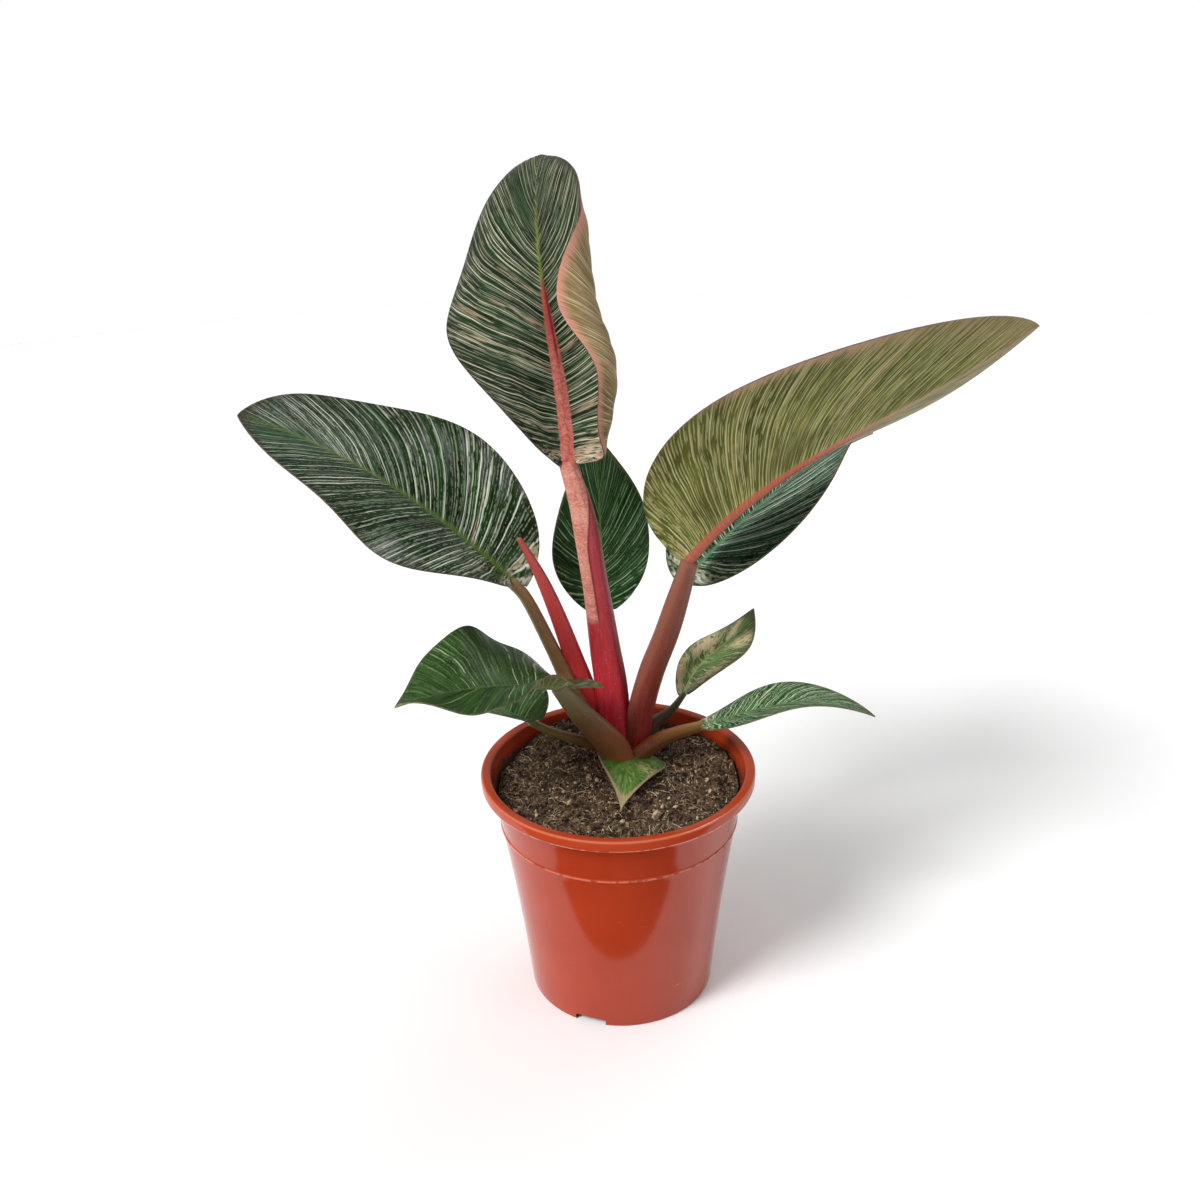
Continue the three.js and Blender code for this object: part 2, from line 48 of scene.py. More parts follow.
# A socket that sums work on: each operator adds its Math node
class Wire:
    def __init__(self, finish, socket):
        self.finish = finish
        self.socket = socket

    def out(self, name):
        return Wire(self.finish, self.socket.node.outputs[name])

    def math(self, operation, first, second=0):
        return self.finish.node("Math", {"operation": operation}, {0: first, 1: second})

    def __add__(self, other):
        return self.math("ADD", self, other)

    __radd__ = __add__

    def __sub__(self, other):
        return self.math("SUBTRACT", self, other)

    def __rsub__(self, other):
        return self.math("SUBTRACT", other, self)

    def __mul__(self, other):
        return self.math("MULTIPLY", self, other)

    __rmul__ = __mul__

    def __truediv__(self, other):
        return self.math("DIVIDE", self, other)

    def __pow__(self, other):
        return self.math("POWER", self, other)

    def __gt__(self, other):
        return self.math("GREATER_THAN", self, other)

    def __abs__(self):
        return self.math("ABSOLUTE", self)

    def cosine(self):
        return self.math("COSINE", self)

    def sine(self):
        return self.math("SINE", self)

    def atMost(self, other):
        return self.math("MINIMUM", self, other)

    def atLeast(self, other):
        return self.math("MAXIMUM", self, other)


# One material. What is the same all over is set straight on the shader's sockets, and three plain
# numbers are a colour in a screen's levels from 0 to 255.
class Finish:
    def __init__(self, name, **fixed):
        self.material = bpy.data.materials.new(name)
        self.material.use_nodes = True
        self.tree = self.material.node_tree
        self.surface = self.tree.nodes["Principled BSDF"]
        for socket, value in fixed.items():
            self.surface.inputs[socket.replace("_", " ")].default_value = value

    def node(self, kind, settings=None, sockets=None, output=0):
        item = self.tree.nodes.new("ShaderNode" + kind)
        for key, value in (settings or {}).items():
            if key == "stops":
                setStops(item.color_ramp, value)
            else:
                setattr(item, key, value)
        for key, value in (sockets or {}).items():
            self.feed(item.inputs[key], value)
        return Wire(self, item.outputs[output])

    def feed(self, socket, value):
        if isinstance(value, Wire):
            self.tree.links.new(value.socket, socket)
        else:
            socket.default_value = colour(*value) if isinstance(value, tuple) else value

    def set(self, **sockets):
        for socket, value in sockets.items():
            self.feed(self.surface.inputs[socket.replace("_", " ")], value)

    def span(self, value, low, high, toLow=0, toHigh=1):
        return self.node("MapRange", {"interpolation_type": "SMOOTHSTEP"}, {
            "Value": value, "From Min": low, "From Max": high, "To Min": toLow, "To Max": toHigh})

    def mix(self, share, first, second):
        return self.node("Mix", {"data_type": "RGBA"}, {0: share, 6: first, 7: second}, 2)

    def point(self, x=0, y=0, z=0):
        return self.node("CombineXYZ", {}, {0: x, 1: y, 2: z})

    def split(self, vector):
        first = self.node("SeparateXYZ", {}, {0: vector})
        return first, first.out("Y"), first.out("Z")

    def noise(self, vector, scale=1, detail=2, roughness=0.5, flat=False):
        return self.node("TexNoise", {"noise_dimensions": "2D" if flat else "3D"}, {
            "Vector": vector, "Scale": scale, "Detail": detail, "Roughness": roughness})

    def place(self):
        return self.node("TexCoord", output="Object")

    def bump(self, height, distance, strength=1):
        return self.node("Bump", {}, {"Height": height, "Distance": distance, "Strength": strength})


def colour(red, green, blue):
    shares = [level / 255 for level in (red, green, blue)]
    return (*[s / 12.92 if s <= 0.04045 else ((s + 0.055) / 1.055) ** 2.4 for s in shares], 1)


def setStops(ramp, stops):
    for place, shade in stops[2:]:
        ramp.elements.new(place)
    for stop, (place, shade) in zip(ramp.elements, stops):
        stop.position = place
        stop.color = colour(*shade)


# Mesh helpers

def addPiece(name, slot, finishes, *nodes):
    piece = bpy.context.object
    piece.name = name
    piece.data.name = name
    for finish in finishes:
        piece.data.materials.append(finish.material)
    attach(piece, "root")
    if nodes:
        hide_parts(*nodes)
    return piece


def vertexPlaces(mesh):
    places = np.zeros(len(mesh.vertices) * 3)
    mesh.vertices.foreach_get("co", places)
    return places.reshape(-1, 3)


def moveVertices(mesh, places):
    mesh.vertices.foreach_set("co", np.asarray(places, float).ravel())
    mesh.update()


def setUv(mesh, name, across, along):
    layer = mesh.uv_layers[0]
    layer.name = name
    corners = np.zeros(len(mesh.loops), int)
    mesh.loops.foreach_get("vertex_index", corners)
    layer.uv.foreach_set("vector", np.stack([across[corners], along[corners]], 1).ravel())


def mergeClose(distance, outward=False):
    bpy.ops.object.mode_set(mode="EDIT")
    bpy.ops.mesh.select_all(action="SELECT")
    bpy.ops.mesh.remove_doubles(threshold=distance)
    if outward:
        bpy.ops.mesh.normals_make_consistent(inside=False)
    bpy.ops.object.mode_set(mode="OBJECT")


def smoothAndLeave(degrees):
    bpy.ops.object.shade_smooth_by_angle(angle=math.radians(degrees))
    bpy.ops.object.select_all(action="DESELECT")


def applyModifier(piece, kind, **settings):
    modifier = piece.modifiers.new(kind.title(), kind)
    for key, value in settings.items():
        setattr(modifier, key, value)
    bpy.ops.object.modifier_apply(modifier=modifier.name)


# A smooth curve through evenly spaced numbers
def smoothAlong(values, share):
    values = np.asarray(values, float)
    last = len(values) - 1
    x = np.clip(share, 0, 1) * last
    i = np.minimum(x.astype(int), last - 1)
    f = x - i
    ext = np.concatenate([[2 * values[0] - values[1]], values, [2 * values[-1] - values[-2]]])
    p0, p1, p2, p3 = ext[i], ext[i + 1], ext[i + 2], ext[i + 3]
    return p1 + 0.5 * f * (p2 - p0 + f * (2 * p0 - 5 * p1 + 4 * p2 - p3 + f * (3 * (p1 - p2) + p3 - p0)))


# Leaves, as in the model's source. Heading, rise and roll are degrees along the rib; fold and curl are
# degrees along each side. Of a pair the left side comes first. A wave is its height, its count along
# the blade, its phase and what the right side adds to the phase.
leaves = {
    "tall": {
        "foot": [-18, 14.5, 244], "length": 148, "half": [43, 51], "lobe": [2, 1],
        "widest": [0.46, 0.33], "point": [1.14, 1.25],
        "heading": [107, 109, 92, 78], "rise": [86, 69, 58, 52, 54, -43], "roll": [-4, -9, 2],
        "fold": [[10, 0, -16], [12, -5, -8]],
        "curl": [[48, -18, -70, -80, -71], [269, 185, 228, 205, 192, -45]], "tight": [1, 1.1],
        "rib": [3, 1.2, 2.2], "grid": [230, 100], "slot": "leaf_pink_striped",
    },
    "right": {
        "foot": [31, -3.5, 206.5], "length": 165, "half": [43, 45], "lobe": [10, 3],
        "widest": [0.38, 0.38], "point": [0.71, 0.71],
        "heading": [-24, -24, 10], "rise": [53, 35, 33], "roll": [14, 11, 4],
        "fold": [[28, 10, -27], [77, 60, 76]], "curl": [[-23, -20, -21], [-36, -24, -24]],
        "rib": [2.2, 0.5, 1.8], "grid": [230, 88], "slot": "leaf_green_striped", "sweep": 2.7,
    },
    "left": {
        "foot": [-43.3, 9.5, 194], "length": 130.2, "half": [44, 46], "lobe": [1.5, 7],
        "widest": [0.42, 0.42], "point": [0.84, 0.84],
        "heading": [175, 184, 197], "rise": [46, 38, 24], "roll": [15, 15, 31],
        "fold": [[29, 17, -3], [30, 19, 10]], "curl": [[-11, -30, 14], [17, -15, -23]],
        "wave": [4, 1.3, 86, 174],
        "rib": [2, 0.4, 1.6], "grid": [210, 88], "slot": "leaf_green_striped",
    },
    "lowLeft": {
        "foot": [-24, -14, 155.5], "length": 69.5, "half": [25, 29.5], "lobe": [6, 19],
        "widest": [0.5, 0.44], "point": [0.96, 0.76],
        "heading": [184, 196, 172], "rise": [7, 3, -25], "roll": [-23, 17, -3],
        "fold": [[40, 36, 27], [16, 24, 33, 14]], "curl": [[-43, -31, 3], [-26, -20, 0, 8]],
        "wave": [1.7, 2.7, 27, -72],
        "rib": [1.8, 0.3, 1.2], "grid": [120, 60], "slot": "leaf_green_striped",
    },
    "lowRight": {
        "foot": [38, 7.5, 124], "length": 78, "half": [15, 15], "lobe": [4, 1],
        "widest": [0.42, 0.42], "point": [0.94, 0.94],
        "heading": [-7, 4, -6], "rise": [21, 6, -31], "roll": [5, 2, 5],
        "fold": [[2, 15, 6], [6, 17, 10]], "curl": [[-21, -2, -20], [-29, 3, -15]],
        "rib": [1.2, 0.2, 0.9], "grid": [120, 44], "slot": "leaf_cream_marked",
    },
    "smallRight": {
        "foot": [31.5, 33.5, 126.5], "length": 52, "half": [14, 16], "lobe": [3, 0],
        "widest": [0.43, 0.43], "point": [0.97, 0.97],
        "heading": [27, 35, 39], "rise": [68, 21, 52], "roll": [6, 2, 8],
        "fold": [[11, 7, -4], [15, 9, 2]], "curl": [[-5, -15, -23], [-10, -7, -27]],
        "rib": [0.9, 0.2, 0.7], "grid": [90, 44], "slot": "leaf_cream_marked",
    },
    "backRight": {
        "foot": [33.5, 26, 187.5], "length": 115, "half": [39, 38], "lobe": [6, 4],
        "widest": [0.41, 0.41], "point": [0.89, 0.89],
        "heading": [26, 40, 23], "rise": [40, 20, 12], "roll": [1, 18, 29],
        "fold": [[15, 10, 10], [7, 12, 15]], "curl": [[-11, -15, -15], [-15, -14, -13]],
        "rib": [1.7, 0.3, 1.4], "grid": [180, 72], "slot": "leaf_green_striped", "sweep": 2.6,
    },
    "back": {
        "foot": [-2, 41, 165], "length": 80, "half": [25, 25], "lobe": [4, 0],
        "widest": [0.42, 0.42], "point": [1.14, 1.14],
        "heading": [106.6, 97.6, 85.6], "rise": [52, 79, 48], "roll": [1, -17, -18],
        "fold": [[8, 17, 19], [9, 6, 8]], "curl": [[-19, -15, -4], [-16, -20, -15]],
        "rib": [1.4, 0.3, 1.1], "grid": [130, 56], "slot": "leaf_green_striped", "sweep": 2.8,
    },
    "lowBack": {
        "foot": [-38, 8, 127.5], "length": 38, "half": [10, 21], "lobe": [2, 5],
        "widest": [0.38, 0.38], "point": [0.86, 0.86],
        "heading": [152, 150, 146], "rise": [9, 5, -8], "roll": [4, 7, 21],
        "fold": [[35, 25, 10], [36, 22, 14]], "curl": [[1, -4, -11], [-27, -28, -18]],
        "rib": [1.1, 0.2, 0.8], "grid": [80, 44], "slot": "leaf_cream_marked",
    },
    "scale": {
        "foot": [6.5, 20, 104.6], "length": 47, "half": [16, 14], "lobe": [1, 1],
        "widest": [0.17, 0.17], "point": [1.35, 1.35],
        "heading": [261, 264, 260], "rise": [11, -3, -19], "roll": [13, 10, 7],
        "fold": [[4, 8, 10], [5, 6, 9]], "curl": [[-17, -17, -14], [-16, -18, -14]],
        "rib": [1.2, 0.1, 0.6], "grid": [90, 44], "slot": "leaf_cream_marked",
    },
}
bladeForm = {"thickness": 0.6, "veinSweep": 2.1, "veinBend": 0.65, "notchHalf": 3, "rows": 1.5,
             "columns": 1.35, "ribSlimming": 0.6, "ripple": 0.22, "ripples": 21, "fullLength": 120,
             "ribSteps": 160, "foldSteps": 16}


# Points of a blade's middle surface, with each point's place on the flat leaf
def bladeSurface(leaf, u, v):
    length = leaf["length"]
    steps = bladeForm["ribSteps"]

    def directions(share):
        heading = np.radians(smoothAlong(leaf["heading"], share))
        rise = np.radians(smoothAlong(leaf["rise"], share))
        level = np.cos(rise)
        forward = np.stack([level * np.cos(heading), level * np.sin(heading), np.sin(rise)], -1)
        return heading, forward

    strides = directions((np.arange(steps) + 0.5) / steps)[1] * length / steps
    chain = np.concatenate([[leaf["foot"]], leaf["foot"] + np.cumsum(strides, 0)])
    side = (v > 0).astype(int)
    away = np.abs(v)
    t = 1 - (1 - u) ** leaf.get("sweep", bladeForm["veinSweep"])

    def pick(key):
        return np.asarray(leaf[key], float)[side]

    widest, power = pick("widest"), pick("point")
    basePower = power * widest / (1 - widest)
    peak = widest ** basePower * (1 - widest) ** power
    outline = t ** basePower * (1 - t) ** power / peak
    marginX = t * (length + pick("lobe")) - pick("lobe")
    marginY = pick("half") * outline + bladeForm["notchHalf"] * (1 - t) ** 8
    startX = length * u
    bend = bladeForm["veinBend"]
    x = startX + (marginX - startX) * (bend * away + (1 - bend) * away ** 2)
    y = marginY * away
    share = np.clip(x / length, 0, 1)
    heading, forward = directions(share)
    whole = share * steps
    i = np.minimum(whole.astype(int), steps - 1)
    rest = (whole - i)[:, None]
    centre = chain[i] * (1 - rest) + chain[i + 1] * rest + forward * np.minimum(x, 0)[:, None]
    right = np.stack([np.sin(heading), -np.cos(heading), 0 * heading], -1)
    up = np.cross(right, forward)
    roll = np.radians(smoothAlong(leaf["roll"], share))[:, None]
    right, up = right * np.cos(roll) + up * np.sin(roll), up * np.cos(roll) - right * np.sin(roll)

    def sideAlong(key):
        both = [np.radians(smoothAlong(values, share)) for values in leaf[key]]
        return np.where(side == 1, both[1], both[0])

    fold, curl = sideAlong("fold"), sideAlong("curl")
    reach = y / pick("half")
    tight = np.asarray(leaf.get("tight", [1, 1]), float)[side]
    out = 0
    lift = 0
    foldSteps = bladeForm["foldSteps"]
    for step in range(foldSteps):
        angle = fold + curl * (reach * (step + 0.5) / foldSteps) ** tight
        out = out + np.cos(angle) * y / foldSteps
        lift = lift + np.sin(angle) * y / foldSteps
    if "wave" in leaf:
        height, count, phase, rightPhase = leaf["wave"]
        turn = np.radians(phase + side * rightPhase)
        lift = lift + height * reach ** 2 * np.sin(2 * np.pi * count * x / length + turn)
    places = centre + right * (np.sign(v) * out)[:, None] + up * lift[:, None]
    return places, x, y, marginY - y


# Patches are a place along the rib and its reach, two limits across the blade from -1 to 1, and a
# strength: above 0 for cream patches, below 0 for calm stretches with few lines.
def makeBlade(name, leaf, node, finishes, patches):
    rows, columns = leaf["grid"]
    bpy.ops.mesh.primitive_grid_add(x_subdivisions=columns, y_subdivisions=rows, size=2)
    mesh = bpy.context.object.data
    flat = vertexPlaces(mesh)
    v = np.sign(flat[:, 0]) * np.abs(flat[:, 0]) ** bladeForm["columns"]
    along = np.clip((flat[:, 1] + 1) / 2, 0, 1)
    u = along ** bladeForm["rows"]
    places, x, y, inset = bladeSurface(leaf, u, v)
    setUv(mesh, "veins", u, (v + 1) / 2)
    moveVertices(mesh, places * mm)
    ribHalf, above, below = leaf["rib"]
    slim = 1 - bladeForm["ribSlimming"] * along
    ridge = np.exp(-(y / (ribHalf * slim)) ** 2) * (1 - along)
    normals = np.zeros(len(mesh.vertices) * 3)
    mesh.vertex_normals.foreach_get("vector", normals)
    normals = normals.reshape(-1, 3)
    away = np.abs(v)
    big = min(1, leaf["length"] / bladeForm["fullLength"])
    turn = 2 * np.pi * bladeForm["ripples"] * big ** 0.5 * u
    ripple = np.sin(turn + 1.7 * (v > 0)) + 0.5 * np.sin(0.37 * turn + 9 * away + 2 * (v > 0))
    ripple = ripple * bladeForm["ripple"] * big * (4 * away * (1 - away)) ** 0.7 * (1 - along ** 6)
    shift = ripple + (above - below) / 2 * ridge
    moveVertices(mesh, (places + normals * shift[:, None]) * mm)
    place = mesh.attributes.new("flatPlace", "FLOAT_VECTOR", "POINT")
    place.data.foreach_set("vector", np.stack([x, y, inset], 1).ravel())
    pale = np.zeros(len(u))
    for centreU, halfU, fromV, toV, strength in patches:
        spot = np.exp(-((u - centreU) / halfU) ** 2)
        spot = spot / (1 + np.exp((fromV - v) * 16)) / (1 + np.exp((v - toV) * 16))
        if strength > 0:
            pale = np.maximum(pale, spot * strength)
        else:
            pale = pale * (1 - spot) + spot * strength
    mesh.attributes.new("pale", "FLOAT", "POINT").data.foreach_set("value", pale)
    blade = addPiece(name, leaf["slot"], finishes, node)
    thick = bladeForm["thickness"]
    most = thick + above + below
    group = blade.vertex_groups.new(name="rib")
    for i in np.nonzero(ridge > 0.002)[0]:
        group.add([int(i)], float(ridge[i]), "REPLACE")
    mergeClose(0.01 * mm)
    applyModifier(blade, "SOLIDIFY", thickness=most * mm, offset=0, vertex_group="rib",
                  thickness_vertex_group=thick / most, material_offset=1, material_offset_rim=2)
    smoothAndLeave(50)


# What a blade's finish is unless its look says otherwise. Counts are along the whole rib, line
# widths are shares of a line's lane, margins are in millimetres and shares run from 0 to 1.
plainBlade = {
    "seed": 0, "sway": 0.012, "shine": 0.22, "relief": 0.8, "edgeDark": 0.5, "rare": 0.1,
    "broadCount": 22, "middleCount": 75, "beads": 40, "brush": 7, "patchFrom": 0.7, "patchFill": 0.12,
    "fineCount": 125, "fineWidth": 0.28, "fineShare": 0.62, "secondShare": 0.5,
    "brightCount": 50, "brightWidth": 0.12, "brightShare": 0.9, "ribSoft": 0.3, "ribShare": 0.85,
    "marginWidth": 0.9, "marginRagged": 0.6, "marginShare": 0.8, "tipFrom": 0.955,
}


# Places on a blade, and noises stretched along the veins, which are the map's first axis
class BladePattern:
    def __init__(self, finish, look):
        self.finish = finish
        u, v = finish.split(finish.node("UVMap", {"uv_map": "veins"}))[:2]
        self.side = v > 0.5
        self.away = abs(v * 2 - 1)
        flat = finish.node("Attribute", {"attribute_name": "flatPlace"}, output="Vector")
        self.x, self.y, self.inset = finish.split(flat)
        marks = finish.node("Attribute", {"attribute_name": "pale"}, output="Fac")
        self.patch, self.calm = marks.atLeast(0), (marks * -1).atLeast(0)
        start = u + self.side * 3.3 + look["seed"]
        sway = finish.noise(finish.point(start * 9, self.away * 2.4), detail=1, flat=True) - 0.5
        self.lane = start + sway * look["sway"]
        self.broad = self.streaks(look["broadCount"], 1.4)
        self.middle = self.streaks(look["middleCount"], 3.2)
        self.beads = self.streaks(look["fineCount"] * 0.9, look["beads"], 2, 0.6)
        self.brush = self.streaks(look["fineCount"] * 1.3, look["brush"], 2, 0.6)

    def streaks(self, count, length, detail=2, roughness=0.5):
        place = self.finish.point(self.lane * count, self.away * length)
        return self.finish.noise(place, detail=detail, roughness=roughness, flat=True)

    # One line in each lane, and a number that differs from lane to lane
    def threads(self, count, thin, thick, shift=0):
        lanes = {"W": self.lane * count + shift, "Scale": 1}
        cell = self.finish.node("TexVoronoi", {"voronoi_dimensions": "1D"}, lanes)
        return 1 - self.finish.span(cell, thin, thick), self.finish.split(cell.out("Color"))[0]


def bladeGreen(finish, at, look):
    green = finish.mix(finish.span(at.broad, 0.35, 0.7), look["deep"], look["green"])
    green = finish.mix(finish.span(at.middle, 0.5, 0.75) * 0.6, green, look["light"])
    darker = finish.span(at.away + (at.broad - 0.5) * 0.8, 0.62, 1) * look["edgeDark"]
    green = finish.mix(darker, green, look.get("dark", look["deep"]))
    return finish.mix(at.calm, green, look["calmShade"]) if "calmShade" in look else green


# Fine threads, cream and blush patches, then two sets of brighter lines
def bladeLines(finish, at, look, body):
    quiet = 1 - at.calm
    cloud = finish.span(at.broad * 0.6 + at.middle * 0.4, look["patchFrom"], look["patchFrom"] + 0.12)
    marked = at.patch * finish.span(at.middle + at.patch * 0.35, 0.5, 0.72)
    area = (cloud * 0.7).atLeast(marked) * quiet
    fine, fineId = at.threads(look["fineCount"], 0.08, look["fineWidth"])
    fine = fine * finish.span(at.beads + area * 0.12 + fineId * 0.16, 0.5, 0.64)
    body = finish.mix(fine * quiet * (look["fineShare"] + area * 0.2), body, look["line"])
    tint = finish.mix(finish.span(at.middle, 0.4, 0.62), look["cream"], look["blush"])
    filled = area * finish.span(at.brush + area * look["patchFill"], 0.46, 0.66)
    body = finish.mix(filled * 0.9, body, tint)
    second, secondId = at.threads(look["brightCount"] * 1.7, 0.06, 0.16, 7.7)
    second = second * finish.span(secondId + (at.broad - 0.5), 0.2, 0.9) * finish.span(at.brush, 0.36, 0.5)
    body = finish.mix(second * quiet * look["secondShare"], body, look["pin"])
    bright, brightId = at.threads(look["brightCount"], 0.03, look["brightWidth"])
    broken = finish.span(at.streaks(look["brightCount"], 2.6, 3, 0.6), 0.34, 0.5)
    bright = bright * finish.span(brightId, look["rare"], look["rare"] + 0.5) * broken
    bright = bright * (1 - at.calm * 0.6) * finish.span(at.away, 0.85, 1, 1, 0.3) * look["brightShare"]
    return finish.mix(bright, body, look["pin"]), bright


# A broad pink rib that narrows to a point, with green threads beside it and a groove
def pinkRib(finish, at, look, length, body):
    reach = (1 - (at.x / look["ribTip"]).atMost(1) ** 2.2) ** 0.6
    width = reach * look["ribHalf"] + (at.middle - 0.5) * 0.9 * reach
    thread = look["thread"] * (1 - finish.span(at.x, 0, length, 0, 0.8)) + (at.beads - 0.5) * 2.4
    threadMask = 1 - finish.span(at.y - thread, -0.3, 0.4)
    threadMask = threadMask * (1 - finish.span(at.x, 0.55 * length, 0.85 * length))
    body = finish.mix(threadMask * 0.75, body, look["threadColour"])
    ribMask = (1 - finish.span(at.y - width, -0.4, 0.25)) * finish.span(width, 0, 0.3)
    grain = finish.noise(finish.place(), 900, 3)
    tone = finish.mix(finish.span(grain, 0.35, 0.65), look["rib"], look["ribLight"])
    upper = finish.span(at.x + (grain - 0.5) * 6, look["ribTip"] * 0.42, look["ribTip"] * 0.8)
    tone = finish.mix(upper * 0.7, tone, look["ribUpper"])
    groove = 1 - finish.span(abs(at.y - look["grooveAside"]), 0.15, 0.8)
    groove = groove * finish.span(at.x, *look["grooveFrom"]) * at.side
    tone = finish.mix(groove * 0.85, tone, look["groove"])
    return finish.mix(ribMask, body, tone)


def plainRib(finish, at, look, length, body):
    soft = look["ribSoft"]
    width = look["ribHalf"] * (1 - finish.span(at.x, 0, length) * 0.75) + (at.beads - 0.5) * soft * 1.6
    tone = look["rib"]
    if "ribEnd" in look:
        tone = finish.mix(finish.span(at.x, *look["ribFade"]), tone, look["ribEnd"])
    return finish.mix((1 - finish.span(at.y - width, -soft, soft)) * look["ribShare"], body, tone)


# The ragged margin, and the brown tip where a leaf has one
def bladeEdge(finish, at, look, length, body):
    ragged = at.inset + (at.brush - 0.5) * look["marginRagged"]
    edge = 1 - finish.span(ragged, 0.2, look["marginWidth"])
    if "marginFrom" in look:
        edge = edge * finish.span(at.x, *look["marginFrom"])
        edge = edge * finish.span(at.x, 0.65 * length, 0.85 * length, 1, 0.3)
    body = finish.mix(edge * look["marginShare"], body, look["margin"])
    if "tip" in look:
        start = look["tipFrom"] * length
        body = finish.mix(finish.span(at.x, start, start + 0.035 * length), body, look["tip"])
    return body


def bladeFinish(name, length, changes):
    look = {**plainBlade, **changes}
    finish = Finish(name, Specular_IOR_Level=look["shine"])
    at = BladePattern(finish, look)
    body, bright = bladeLines(finish, at, look, bladeGreen(finish, at, look))
    paintRib = pinkRib if "ribTip" in look else plainRib
    body = bladeEdge(finish, at, look, length, paintRib(finish, at, look, length, body))
    height = at.middle * 0.6 + at.brush * 0.4 + bright * 0.2
    rough = finish.span(at.brush, 0.25, 0.75, look["rough"] - 0.06, look["rough"] + 0.1)
    finish.set(Base_Color=body, Roughness=rough, Normal=finish.bump(height, 0.3 * mm, look["relief"]))
    return finish


def rimFinish(name, shade):
    finish = Finish(name, Roughness=0.45)
    grain = finish.noise(finish.place(), 400, 2)
    light = colour(*shade)
    dark = [level * 0.6 for level in light[:3]] + [1]
    finish.set(Base_Color=finish.mix(finish.span(grain, 0.35, 0.65), dark, shade))
    return finish


